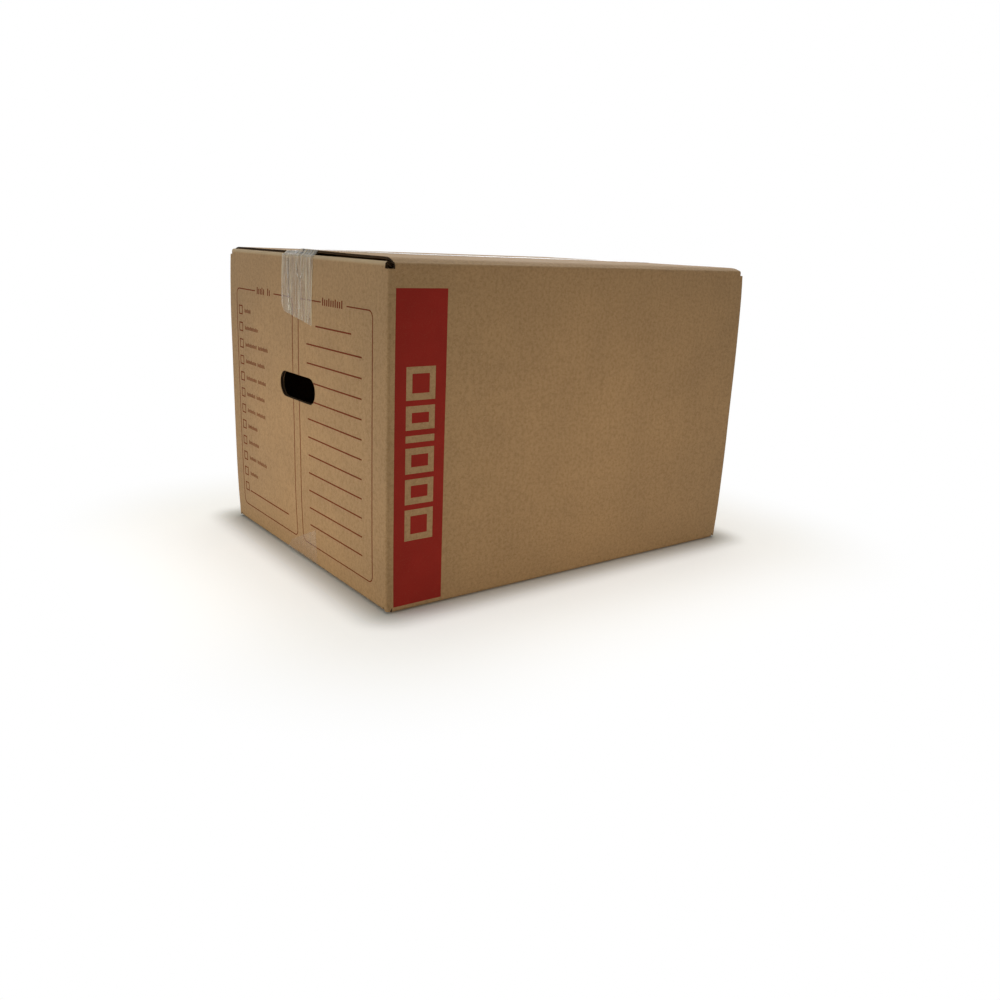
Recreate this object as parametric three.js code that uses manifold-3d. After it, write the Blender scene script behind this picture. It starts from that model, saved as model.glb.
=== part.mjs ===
// A medium moving carton: one sheet of corrugated board, slotted, scored and folded, closed with tape.
// Lengths are in millimetres. +X runs along the carton, +Y across it and +Z up, with the origin on
// the floor under its middle. The printed end faces -X and the printed side faces -Y.
import * as THREE from "three";
import { mergeVertices } from "three/addons/utils/BufferGeometryUtils.js";
import Module from "manifold-3d";

const wasm = await Module();
wasm.setup();

// Inside of the carton
const INCH = 25.4;
const insideLength = 18 * INCH;
const insideWidth = 14 * INCH;
const insideDepth = 12 * INCH;

// Board, which is crushed thin along its scores and upright folds
const board = 4;
const scoredBoard = 1.6;
const scoreRun = 9;
const wideFlapScoreRun = 22;
const cornerBoard = 2.2;
const cornerRun = 7;
const flapEdgeBoard = 1.9;
const flapEdgeRun = 12;

// Folds and slots. The scores stand further apart than the inside is deep, because the board bends
// around them. The side panels' scores lie a little lower than the end panels', and the corners hang
// down as lips beside the bottom slots.
const scoreAllowance = 2.8;
const topSideScoreDrop = 0.2;
const bottomSideScoreDrop = 1.3;
const cornerRadius = 3.2;
const creaseRadius = 3;
const slotInset = 2.5;
const endSlotInset = 4;
const slotBelowCrease = 6;
const slotAboveFloorCrease = 4;
const cornerLip = 3.7;
const cornerLipRun = 30;
const layGap = 0.3;
const seamGap = 1.2;
const flapRise = 12;
const endFlapDroop = 2.4;
const flapSpringFrom = 26;

// Glued joint in the back right corner
const glueTabWidth = 35;
const glueTabTaper = 12;
const glueLine = 0.3;
const glueBite = 0.8;
const glueMargin = 8;

// How the empty carton stands: panels bow outwards, and the top flaps spring up in front, in the
// middle and at the back
const endBow = 3;
const sideBow = 1.5;
const cornerBow = 1.8;
const nearFlapLifts = [3, 1.4, 0.5];
const farFlapLifts = [0.5, 0.5, 0.5];

// Hand holes
const holeWidth = 83;
const holeHeight = 27;
const holeAboveMiddle = 26;

// Tape
const tapeWidth = 72;
const tapeFilm = 0.3;
const tapeGap = 0.55;
const topTapeDropNear = 65;
const topTapeDropFar = 55;
const bottomTapeRiseNear = 38;
const bottomTapeRiseFar = 6;
const backTapeTurn = 60;
const seamDrape = 14;
const hollowMargin = 8;
const hollowRamp = 6;

// Print
const inkFilm = 0.15;
const inkGap = 0.2;
const bandFromCorner = 7;
const bandWidth = 53;
const bandBelowCrease = 21.5;
const bandAboveFloorCrease = 5.2;
const blockFromBandEdge = 11.5;
const blockHeight = 30.5;
const blockStart = 64;
const blockGap = 5;
const blockLengths = [30, 24, 24, 6.5, 22, 30];
const formLine = 1;
const formCornerRadius = 5;
const formWidth = 150;
const formGap = 14;
const formBelowCrease = 42.8;
const formAboveCrease = 20.8;
const formShift = 2;
const roomHeadingFrom = 47;
const roomHeadingTo = 97;
const contentsHeadingFrom = 48;
const contentsHeadingTo = 100;

// Outside sizes that follow from these
const length = insideLength + 2 * board;
const width = insideWidth + 2 * board;
const endHalf = insideDepth / 2 + board + scoreAllowance;
const flatHalf = endHalf - endFlapDroop + layGap + board;
const sideTop = endHalf - topSideScoreDrop;
const sideBottom = endHalf + bottomSideScoreDrop;
const midZ = flatHalf;
const slotTop = midZ + endHalf - slotBelowCrease;
const slotBottom = midZ - endHalf + slotAboveFloorCrease;
const holeZ = midZ + holeAboveMiddle;
const creaseArc = (Math.PI / 2) * creaseRadius;
const flapReach = width / 2 - seamGap / 2 - creaseRadius;
const tapeSink = tapeFilm + tapeGap;
const hollowStart = width / 2 - tapeWidth / 2 - hollowMargin;
const hollowEnd = hollowStart + hollowRamp;

// Grid steps of the folded sheet
const PANEL_STEPS = 10;
const HEIGHT_STEPS = 8;
const FORM_STEP = 18;
const ARC_STEPS = 4;
const FLAP_STOPS = [5.5, 8, 11, 15, 28, 55, 88];

const smooth = (x) => {
  const c = Math.min(1, Math.max(0, x));
  return c * c * (3 - 2 * c);
};

const spread = (from, to, steps) =>
  Array.from({ length: steps + 1 }, (_, i) => from + ((to - from) * i) / steps);

// The four panels in the order they lie on the blank, starting at the glued joint. Each runs along
// `along` from `start`, and looks along `out`.
const jointEnd = width / 2 - board - glueLine - cornerRadius;
const panels = [
  {
    kind: "end",
    bow: endBow,
    out: new THREE.Vector3(1, 0, 0),
    along: new THREE.Vector3(0, -1, 0),
    start: new THREE.Vector3(length / 2, jointEnd, 0),
    run: jointEnd + width / 2 - cornerRadius,
  },
  {
    kind: "side",
    bow: sideBow,
    out: new THREE.Vector3(0, -1, 0),
    along: new THREE.Vector3(-1, 0, 0),
    start: new THREE.Vector3(length / 2 - cornerRadius, -width / 2, 0),
    run: length - 2 * cornerRadius,
    lifts: nearFlapLifts,
  },
  {
    kind: "end",
    bow: endBow,
    out: new THREE.Vector3(-1, 0, 0),
    along: new THREE.Vector3(0, 1, 0),
    start: new THREE.Vector3(-length / 2, -width / 2 + cornerRadius, 0),
    run: width - 2 * cornerRadius,
  },
  {
    kind: "side",
    rawEnd: true,
    bow: sideBow,
    out: new THREE.Vector3(0, 1, 0),
    along: new THREE.Vector3(1, 0, 0),
    start: new THREE.Vector3(-length / 2 + cornerRadius, width / 2, 0),
    run: length - cornerRadius,
    lifts: farFlapLifts,
  },
];

// The carton's bulge at a height: nothing at the slots, all of it in the middle
function bulgeAt(z) {
  const up = (2 * z - slotTop - slotBottom) / (slotTop - slotBottom);
  return Math.max(0, 1 - up ** 4);
}

// How far a panel bows out at a share of its run and a height over the floor
function bowAt(panel, share, z) {
  const across = Math.sin(Math.PI * Math.min(1, Math.max(0, share)));
  return bulgeAt(z) * (cornerBow + (panel.bow - cornerBow) * across);
}

// How far a wide flap has climbed over the end flap's board, r in from the side
const flapClimb = (r) => 1 - (1 - Math.min(1, Math.max(0, (r - creaseRadius) / flapRise))) ** 2;

// How high a wide flap's outside lies over its own crease, at x along the carton and r in from the side
function topFlapRise(panel, x, r) {
  const [front, middle, back] = panel.lifts;
  const lift = middle + ((x < 0 ? front : back) - middle) * ((2 * x) / length) ** 2;
  const slow = smooth((r - flapSpringFrom) / (width / 2 - flapSpringFrom));
  return (flatHalf - sideTop + 0.6 * lift) * flapClimb(r) + 0.4 * lift * slow;
}

// The bottom flaps' hollow for the tape, and how low their outside lies under their crease
const tapeHollow = (r) => tapeSink * smooth((r - hollowStart) / (hollowEnd - hollowStart));
const bottomFlapDrop = (r) => (flatHalf - sideBottom) * flapClimb(r) - tapeHollow(r);

// Board thickness at a distance along the sheet from a crease, and at one from an upright corner
const thicknessAt = (distance, run = scoreRun) =>
  scoredBoard + (board - scoredBoard) * smooth(Math.abs(distance) / run);
const thicknessBy = (distance) => cornerBoard + (board - cornerBoard) * smooth(distance / cornerRun);

// Where a panel's sheet leaves the level of the slots, and how far it runs from there to its bend
const slotLevel = (up) => (up > 0 ? slotTop : slotBottom);
const sideCrease = (up) => (up > 0 ? sideTop : sideBottom);
const creaseOf = (panel, up) => (panel.kind === "end" ? endHalf : sideCrease(up));
const riseOf = (panel, up) => creaseOf(panel, up) - creaseRadius - Math.abs(slotLevel(up) - midZ);

// The distance of a place on a panel from its nearer upright fold
function fromCorner(panel, share) {
  const a = share * panel.run;
  return panel.rawEnd ? a : Math.min(a, panel.run - a);
}

// One station of the sheet: a point on the outside, the way out of the board, and the thickness
function panelStation(panel, share, z) {
  const stretch = cornerBow * bulgeAt(z) * (2 * share - 1);
  const point = panel.start.clone().addScaledVector(panel.along, share * panel.run + stretch);
  point.addScaledVector(panel.out, bowAt(panel, share, z)).setZ(z);
  const distance = creaseOf(panel, z - midZ) - Math.abs(z - midZ);
  const thick = Math.min(thicknessAt(distance), thicknessBy(fromCorner(panel, share)));
  return { point, out: panel.out.clone(), thick };
}

// The station at a distance q up the sheet from the slots' level, past the crease and along the flap
function flapStation(panel, share, q, up) {
  const crease = creaseOf(panel, up);
  const rise = riseOf(panel, up);
  const point = panel.start.clone().addScaledVector(panel.along, share * panel.run);
  const out = panel.out.clone();
  const distance = q - rise - creaseArc / 2;
  let height = crease - creaseRadius - rise + q;
  let inward = 0;
  if (q > rise + creaseArc) {
    inward = creaseRadius + q - rise - creaseArc;
    height = crease;
    out.set(0, 0, up);
    if (panel.kind === "side") {
      height += up > 0 ? topFlapRise(panel, point.x, inward) : bottomFlapDrop(inward);
    } else {
      height -= endFlapDroop * flapClimb(inward);
    }
  } else if (q > rise) {
    const turn = (q - rise) / creaseRadius;
    inward = creaseRadius * (1 - Math.cos(turn));
    height = crease - creaseRadius + creaseRadius * Math.sin(turn);
    out.multiplyScalar(Math.cos(turn)).setZ(up * Math.sin(turn));
  }
  point.addScaledVector(panel.out, -inward).setZ(midZ + up * height);
  if (panel.kind === "end" || distance < 0) return { point, out, thick: thicknessAt(distance) };
  const fromEdge = smooth((length / 2 - cornerRadius - slotInset - Math.abs(point.x)) / flapEdgeRun);
  const edgeBoard = flapEdgeBoard + (board - flapEdgeBoard) * fromEdge;
  const thick = Math.min(thicknessAt(distance, wideFlapScoreRun), edgeBoard);
  return { point, out, thick: up > 0 ? thick : thick - tapeHollow(inward) };
}

// The station on a rounded upright corner after a panel, at a share of its quarter turn
function cornerStation(panel, share, z) {
  const turn = (share * Math.PI) / 2;
  const out = panel.out.clone().multiplyScalar(Math.cos(turn)).addScaledVector(panel.along, Math.sin(turn));
  const bulge = cornerBow * bulgeAt(z);
  const centre = panel.start.clone().addScaledVector(panel.along, panel.run + bulge);
  centre.addScaledVector(panel.out, bulge - cornerRadius);
  const point = centre.addScaledVector(out, cornerRadius).setZ(z);
  return { point, out, thick: Math.min(cornerBoard, thicknessAt(endHalf - Math.abs(z - midZ))) };
}

// The station on the glue tab, which turns in from the back end and lies inside the far side
function tabStation(x, z, turn) {
  const panel = panels[0];
  const centre = panel.start.clone().addScaledVector(panel.out, -cornerRadius);
  const out = panel.out.clone().multiplyScalar(Math.cos(turn)).addScaledVector(panel.along, -Math.sin(turn));
  const bulge = cornerBow * bulgeAt(z);
  const point = centre.clone().addScaledVector(out, cornerRadius).addScaledVector(panel.out, bulge - x);
  point.addScaledVector(panel.along, -bulge);
  const taper = 1 - (glueTabTaper / endHalf) * (x / glueTabWidth);
  point.z = midZ + (z - midZ) * taper;
  return { point, out, thick: thicknessBy(x) };
}

// The height that a corner's row is drawn down to, so that the corner ends in a lip beside the slots
const lipped = (z) => z - cornerLip * Math.max(0, 1 - (z - slotBottom) / cornerLipRun);

// Columns of the sheet from the joint round to the raw edge. A column with a flap carries it above
// and below.
function sheetColumns() {
  const columns = [];
  for (const x of spread(glueTabWidth, 0, 3)) {
    columns.push({ at: (z) => tabStation(x, z, Math.PI / 2) });
  }
  for (const share of spread(1, 0, ARC_STEPS).slice(1, -1)) {
    columns.push({ at: (z) => tabStation(0, z, (share * Math.PI) / 2) });
  }
  for (const [i, panel] of panels.entries()) {
    const last = i === panels.length - 1;
    const flapStart = (panel.kind === "end" ? endSlotInset : slotInset) / panel.run;
    const flapEnd = last ? 1 - (cornerRadius + slotInset) / panel.run : 1 - flapStart;
    const full = cornerRun / panel.run;
    const shares = [0, flapStart, ...spread(full, flapEnd + flapStart - full, PANEL_STEPS - 2), flapEnd, 1];
    for (const share of shares) {
      const flap = share > 0 && share < 1;
      columns.push({ panel, share, flap, at: (z) => panelStation(panel, share, flap ? z : lipped(z)) });
    }
    if (!last) {
      for (const share of spread(0, 1, ARC_STEPS).slice(1, -1)) {
        columns.push({ at: (z) => cornerStation(panel, share, lipped(z)) });
      }
    }
  }
  return columns;
}

// Distances up the sheet from the slots' level at which a panel's flap has a row
function flapRows(panel, up) {
  const rise = riseOf(panel, up);
  const hollow = [hollowStart, hollowEnd, (hollowEnd + flapReach) / 2, flapReach + creaseRadius];
  const stops = [...FLAP_STOPS, ...hollow];
  return [
    rise,
    ...spread(rise, rise + creaseArc, ARC_STEPS).slice(1),
    ...stops.map((r) => rise + creaseArc + r - creaseRadius),
  ];
}

// The sheet's stations as rows of one column, bottom flap first; null where the blank is cut away
function columnRows(column) {
  const body = spread(slotBottom, slotTop, HEIGHT_STEPS).map((z) => column.at(z));
  const flapCount = 1 + ARC_STEPS + FLAP_STOPS.length + 4;
  if (!column.flap) {
    const cut = Array(flapCount).fill(null);
    return [...cut, ...body, ...cut];
  }
  const flap = (up) => flapRows(column.panel, up).map((q) => flapStation(column.panel, column.share, q, up));
  return [...flap(-1).reverse(), ...body, ...flap(1)];
}

// A closed sheet from a grid of stations: an outside, an inside one thickness in, and a wall at each cut.
// Cells with a missing corner, and those that `bare` names, are cut away.
function closedSheet(grid, bare = () => false) {
  const positions = [];
  const index = [];
  const ids = grid.map((column) =>
    column.map((station) => {
      if (!station) return null;
      const inside = station.point.clone().addScaledVector(station.out, -station.thick);
      positions.push(...station.point.toArray(), ...inside.toArray());
      return positions.length / 3 - 2;
    }),
  );
  const corners = (i, j) => [ids[i]?.[j], ids[i + 1]?.[j], ids[i + 1]?.[j + 1], ids[i]?.[j + 1]];
  const whole = (i, j) => corners(i, j).every((id) => id != null) && !bare(i, j);
  const quad = (a, b, c, d) => index.push(a, b, c, a, c, d);
  for (let i = 0; i < ids.length - 1; i += 1) {
    for (let j = 0; j < ids[i].length - 1; j += 1) {
      if (!whole(i, j)) continue;
      const [a, b, c, d] = corners(i, j);
      quad(a, d, c, b);
      quad(a + 1, b + 1, c + 1, d + 1);
      if (!whole(i, j - 1)) quad(a, b, b + 1, a + 1);
      if (!whole(i + 1, j)) quad(b, c, c + 1, b + 1);
      if (!whole(i, j + 1)) quad(c, d, d + 1, c + 1);
      if (!whole(i - 1, j)) quad(d, a, a + 1, d + 1);
    }
  }
  const geometry = new THREE.BufferGeometry();
  geometry.setAttribute("position", new THREE.Float32BufferAttribute(positions, 3));
  geometry.setIndex(index);
  return geometry;
}

// A closed three.js geometry as a solid that can be joined and cut, and back
function toSolid(geometry) {
  const bare = geometry.clone();
  bare.deleteAttribute("normal");
  bare.deleteAttribute("uv");
  const merged = mergeVertices(bare, 1e-4);
  return new wasm.Manifold(
    new wasm.Mesh({
      numProp: 3,
      vertProperties: new Float32Array(merged.attributes.position.array),
      triVerts: new Uint32Array(merged.index.array),
    }),
  );
}

function toGeometry(solid) {
  const mesh = solid.getMesh();
  const geometry = new THREE.BufferGeometry();
  geometry.setAttribute("position", new THREE.BufferAttribute(new Float32Array(mesh.vertProperties), 3));
  geometry.setIndex(new THREE.BufferAttribute(new Uint32Array(mesh.triVerts), 1));
  geometry.computeVertexNormals();
  return geometry;
}

// The hand holes: one round-ended cutter that runs through both ends
function handHoleCutter() {
  const r = holeHeight / 2;
  const reach = holeWidth / 2 - r;
  const outline = new THREE.Shape();
  outline.moveTo(-reach, -r);
  outline.lineTo(reach, -r);
  outline.absarc(reach, 0, r, -Math.PI / 2, Math.PI / 2, false);
  outline.lineTo(-reach, r);
  outline.absarc(-reach, 0, r, Math.PI / 2, (3 * Math.PI) / 2, false);
  const depth = length + 4 * endBow + 4 * board;
  const geometry = new THREE.ExtrudeGeometry(outline, { depth, bevelEnabled: false, curveSegments: 12 });
  geometry.translate(0, 0, -depth / 2);
  geometry.rotateX(Math.PI / 2);
  geometry.rotateZ(Math.PI / 2);
  geometry.translate(0, 0, holeZ);
  return toSolid(geometry);
}

// The line of glue between the tab and the far side, which makes the blank one closed sleeve
function gluePad() {
  const reach = endHalf - slotBelowCrease - glueTabTaper - glueMargin;
  const middle = length / 2 - cornerRadius - glueTabWidth / 2;
  const half = (glueTabWidth - glueMargin) / 2;
  const out = new THREE.Vector3(0, 1, 0);
  const grid = [middle - half, middle + half].map((x) =>
    spread(midZ - reach, midZ + reach, 2 * HEIGHT_STEPS).map((z) => {
      const y = width / 2 - board + glueBite + cornerBow * bulgeAt(z);
      return { point: new THREE.Vector3(x, y, z), out, thick: glueLine + 2 * glueBite };
    }),
  );
  return toSolid(closedSheet(grid));
}

function cartonGeometry() {
  const sheet = toSolid(closedSheet(sheetColumns().map(columnRows)));
  return toGeometry(sheet.add(gluePad()).subtract(handHoleCutter()));
}

// Tape that runs along a seam and turns over both ends. `up` is 1 on top and -1 below; a turn gives
// how far the film reaches along an end panel at a place across it.
function tapeGeometry(up, frontTurn, backTurn) {
  const nearPanel = panels[1];
  const farPanel = panels[3];
  const flapEnd = length / 2 - cornerRadius - slotInset;
  const flatOutside = (x, y) => {
    if (up < 0) return midZ - sideBottom - bottomFlapDrop(width / 2 - Math.abs(y));
    const near = topFlapRise(nearPanel, x, width / 2 - Math.min(Math.abs(y), width / 2));
    const far = topFlapRise(farPanel, x, width / 2 - Math.abs(y));
    if (y <= -seamGap / 2) return midZ + sideTop + near;
    const atSeam = topFlapRise(nearPanel, x, (width - seamGap) / 2);
    const drape = smooth((y - seamGap / 2) / seamDrape);
    return midZ + sideTop + atSeam + (far - atSeam) * drape;
  };
  const end = (sign, panel, y, turnLength) => {
    const out = new THREE.Vector3(sign, 0, 0);
    const face = (z) => {
      const share = 0.5 - ((y / panel.run) * sign);
      return (length / 2 + bowAt(panel, share, z) + tapeGap) * sign;
    };
    const fold = endHalf - creaseRadius;
    const rows = spread(turnLength, creaseRadius, 5).map((drop) => {
      const z = midZ + up * (endHalf - drop);
      return { point: new THREE.Vector3(face(z), y, z), out };
    });
    const slant = new THREE.Vector3(sign, 0, up).normalize();
    const foldCentre = new THREE.Vector3(sign * (length / 2 - creaseRadius), y, midZ + up * fold);
    rows.push({ point: foldCentre.addScaledVector(slant, creaseRadius + tapeGap), out: slant });
    const edge = new THREE.Vector3(sign * flapEnd, y, flatOutside(sign * flapEnd, y));
    rows.push({ point: edge.addScaledVector(slant, tapeGap * Math.SQRT2), out: slant });
    return rows;
  };
  const columnAt = (y) => {
    const front = end(-1, panels[2], y, frontTurn(y));
    const back = end(1, panels[0], y, backTurn(y)).reverse();
    const inner = spread(-flapEnd, flapEnd, PANEL_STEPS + 3).slice(1, -1);
    const flat = inner.map((x) => ({
      point: new THREE.Vector3(x, y, flatOutside(x, y) + up * tapeGap),
      out: new THREE.Vector3(0, 0, up),
    }));
    return [...front, ...flat, ...back];
  };
  const half = tapeWidth / 2;
  const draped = [seamGap / 2, seamDrape / 2, seamDrape, (half + seamDrape) / 2, half];
  const across = [-half, -half / 2, -seamGap / 2, ...draped];
  const grid = across.map((y) =>
    columnAt(y).map(({ point, out }) => ({
      point: point.clone().addScaledVector(out, tapeFilm),
      out,
      thick: tapeFilm,
    })),
  );
  return closedSheet(up > 0 ? grid : grid.reverse());
}

// The station of a film of ink over a panel, a along it and z up
function inkStation(panel, a, z) {
  const { point } = panelStation(panel, a / panel.run, z);
  point.addScaledVector(panel.out, inkGap + inkFilm);
  return { point, out: panel.out, thick: inkFilm };
}

// The red band on the near side, with six bare blocks where the size would be lettered
function bandGeometry() {
  const panel = panels[1];
  const left = panel.run + cornerRadius - bandFromCorner;
  const blockLeft = left - blockFromBandEdge;
  const alongs = [left - bandWidth, blockLeft - blockHeight, blockLeft - blockHeight / 2, blockLeft, left];
  const low = midZ - sideBottom + bandAboveFloorCrease;
  const heights = [low, low + blockStart / 2];
  const openRows = new Set();
  let z = low + blockStart;
  for (const block of blockLengths) {
    heights.push(z);
    openRows.add(heights.length - 1);
    z += block;
    heights.push(z);
    z += blockGap;
  }
  const high = midZ + sideTop - bandBelowCrease;
  heights.push((z + high) / 2, high);
  const grid = alongs.map((a) => heights.map((height) => inkStation(panel, a, height)));
  return closedSheet(grid, (i, j) => openRows.has(j) && (i === 1 || i === 2));
}

// A stroke of ink of even width along a route on the front end
function inkStroke(route) {
  const panel = panels[2];
  const grid = [formLine / 2, -formLine / 2].map((side) =>
    route.map(([a, z], i) => {
      const [a0, z0] = route[Math.max(0, i - 1)];
      const [a1, z1] = route[Math.min(route.length - 1, i + 1)];
      const size = Math.hypot(a1 - a0, z1 - z0);
      return inkStation(panel, a - ((z1 - z0) / size) * side, z + ((a1 - a0) / size) * side);
    }),
  );
  return closedSheet(grid);
}

// A printed frame of the form in two strokes, because it is open at its heading and at the hand hole.
// `holeAtEnd` says whether the hole cuts the frame's far upright or its near one.
function frameStrokes(from, headingFrom, headingTo, holeAtEnd) {
  const low = midZ - endHalf + formAboveCrease;
  const high = midZ + endHalf - formBelowCrease;
  const to = from + formWidth;
  const r = formCornerRadius;
  const holeLow = holeZ - holeHeight / 2;
  const holeHigh = holeZ + holeHeight / 2;
  const corner = (a, z, startTurn) => {
    const turns = spread(startTurn, startTurn - Math.PI / 2, 4);
    return turns.map((turn) => [a + r * Math.cos(turn), z + r * Math.sin(turn)]);
  };
  const leg = (a0, z0, a1, z1) => {
    const steps = Math.max(1, Math.round(Math.hypot(a1 - a0, z1 - z0) / FORM_STEP));
    return spread(0, 1, steps).map((s) => [a0 + (a1 - a0) * s, z0 + (z1 - z0) * s]);
  };
  const topRight = [
    ...leg(from + headingTo, high, to - r, high).slice(0, -1),
    ...corner(to - r, high - r, Math.PI / 2),
  ];
  const bottom = [
    ...corner(to - r, low + r, 0),
    ...leg(to - r, low, from + r, low).slice(1, -1),
    ...corner(from + r, low + r, -Math.PI / 2),
  ];
  const topLeft = [
    ...corner(from + r, high - r, Math.PI),
    ...leg(from + r, high, from + headingFrom, high).slice(1),
  ];
  const nearUpright = leg(from, low + r, from, high - r).slice(1, -1);
  const farUpright = leg(to, high - r, to, low + r).slice(1, -1);
  const upper = holeAtEnd
    ? [...topRight, ...leg(to, high - r, to, holeHigh).slice(1)]
    : [...leg(from, holeHigh, from, high - r).slice(0, -1), ...topLeft];
  const lower = holeAtEnd
    ? [...leg(to, holeLow, to, low + r).slice(0, -1), ...bottom, ...nearUpright, ...topLeft]
    : [...topRight, ...farUpright, ...bottom, ...leg(from, low + r, from, holeLow).slice(1)];
  return { upper: inkStroke(upper), lower: inkStroke(lower) };
}

const kraft = new THREE.MeshStandardMaterial({ color: 0xb08d62, roughness: 0.9, metalness: 0 });
const film = new THREE.MeshStandardMaterial({
  color: 0xd9cdbd,
  roughness: 0.25,
  metalness: 0,
  transparent: true,
  opacity: 0.4,
});
const ink = new THREE.MeshStandardMaterial({ color: 0x9c2a22, roughness: 0.8, metalness: 0 });

const part = new THREE.Group();
function addPiece(name, geometry, material) {
  const mesh = new THREE.Mesh(geometry, material);
  mesh.name = name;
  part.add(mesh);
}

// Lengths of a tape's turned ends across its width, torn on the slant in front and cut square behind
const slanted = (near, far) => (y) => near + ((far - near) * (y + tapeWidth / 2)) / tapeWidth;
const square = () => backTapeTurn;

const formLeft = (panels[2].run - 2 * formWidth - formGap) / 2 + formShift;
addPiece("carton", cartonGeometry(), kraft);
addPiece("top_tape", tapeGeometry(1, slanted(topTapeDropNear, topTapeDropFar), square), film);
addPiece("bottom_tape", tapeGeometry(-1, slanted(bottomTapeRiseNear, bottomTapeRiseFar), square), film);
addPiece("size_band_print", bandGeometry(), ink);
const contents = frameStrokes(formLeft, contentsHeadingFrom, contentsHeadingTo, true);
const room = frameStrokes(formLeft + formWidth + formGap, roomHeadingFrom, roomHeadingTo, false);
addPiece("contents_form_print_upper", contents.upper, ink);
addPiece("contents_form_print_lower", contents.lower, ink);
addPiece("room_form_print_upper", room.upper, ink);
addPiece("room_form_print_lower", room.lower, ink);

export default part;
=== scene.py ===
"""A medium moving carton: folded corrugated board, clear packing tape and one-colour print."""

import logging
import math
from collections.abc import Callable, Iterable
from dataclasses import dataclass, field
from enum import Enum
from functools import partial

import bpy
from mathutils import Matrix, Vector, noise


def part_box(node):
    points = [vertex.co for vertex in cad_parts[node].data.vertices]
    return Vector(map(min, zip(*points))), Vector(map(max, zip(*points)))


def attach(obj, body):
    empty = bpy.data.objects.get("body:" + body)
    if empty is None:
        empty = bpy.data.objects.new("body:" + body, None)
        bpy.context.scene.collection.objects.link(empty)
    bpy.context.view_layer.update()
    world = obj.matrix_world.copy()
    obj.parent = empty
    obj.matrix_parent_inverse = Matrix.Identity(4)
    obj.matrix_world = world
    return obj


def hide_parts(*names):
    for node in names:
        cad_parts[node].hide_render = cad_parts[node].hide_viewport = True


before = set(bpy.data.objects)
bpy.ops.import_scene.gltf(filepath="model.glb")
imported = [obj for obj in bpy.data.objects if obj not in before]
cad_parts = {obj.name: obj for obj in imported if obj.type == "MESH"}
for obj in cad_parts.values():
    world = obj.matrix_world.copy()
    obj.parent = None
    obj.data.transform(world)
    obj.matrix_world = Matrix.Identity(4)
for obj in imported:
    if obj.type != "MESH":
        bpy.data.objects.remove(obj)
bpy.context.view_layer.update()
log = logging.getLogger("moving_box")

Material = bpy.types.Material
Node = bpy.types.Node
Piece = bpy.types.Object
Socket = bpy.types.NodeSocket
Tree = bpy.types.NodeTree
Pair = tuple[float, float]
Triple = tuple[float, float, float]

MM = 0.001
INCH = 25.4
BOARD = 4.0
FLUTE_PITCH = 7.8
QUARTER = math.pi / 2
Z = Vector((0, 0, 1))
WHITE = (1, 1, 1, 1)
# The numbers of a Mix node's colour sockets, whose names its other sockets share
MIX_A, MIX_B, MIXED = 6, 7, 2


def linear(hex_colour: str) -> tuple[float, float, float, float]:
    """Turn an sRGB hex colour to linear light.

    Args:
        hex_colour: Six hex digits.

    Returns:
        Red, green, blue and alpha.
    """
    channels = [int(hex_colour[i : i + 2], 16) / 255 for i in (0, 2, 4)]
    light = [c / 12.92 if c <= 0.04045 else ((c + 0.055) / 1.055) ** 2.4 for c in channels]
    return (*light, 1.0)


def smooth(x: float) -> float:
    """Ease from 0 to 1 over the unit range."""
    c = min(1.0, max(0.0, x))
    return c * c * (3 - 2 * c)


def spread(start: float, end: float, steps: int) -> list[float]:
    """Give evenly spaced values from start to end, both included."""
    return [start + (end - start) * i / steps for i in range(steps + 1)]


def add_node(
    tree: Tree, kind: str, values: dict | None = None, links: dict | None = None, **settings: object
) -> Node:
    """Add a shader node with its settings, socket values and links.

    Args:
        tree: The material's or world's node tree.
        kind: The node's type name, less the word ShaderNode.
        values: Values by input name or number.
        links: Outputs, or nodes for their first output, by input name or number.
        **settings: The node's own options.

    Returns:
        The new node.
    """
    node = tree.nodes.new(f"ShaderNode{kind}")
    for name, value in settings.items():
        setattr(node, name, value)
    for name, value in (values or {}).items():
        node.inputs[name].default_value = value
    for name, source in (links or {}).items():
        output = source.outputs[0] if isinstance(source, Node) else source
        tree.links.new(output, node.inputs[name])
    return node


def new_material(name: str) -> tuple[Material, Tree]:
    """Make an empty node material.

    Args:
        name: The material's name.

    Returns:
        The material and its node tree.
    """
    material = bpy.data.materials.new(name)
    material.use_nodes = True
    material.node_tree.nodes.clear()
    return material, material.node_tree


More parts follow.
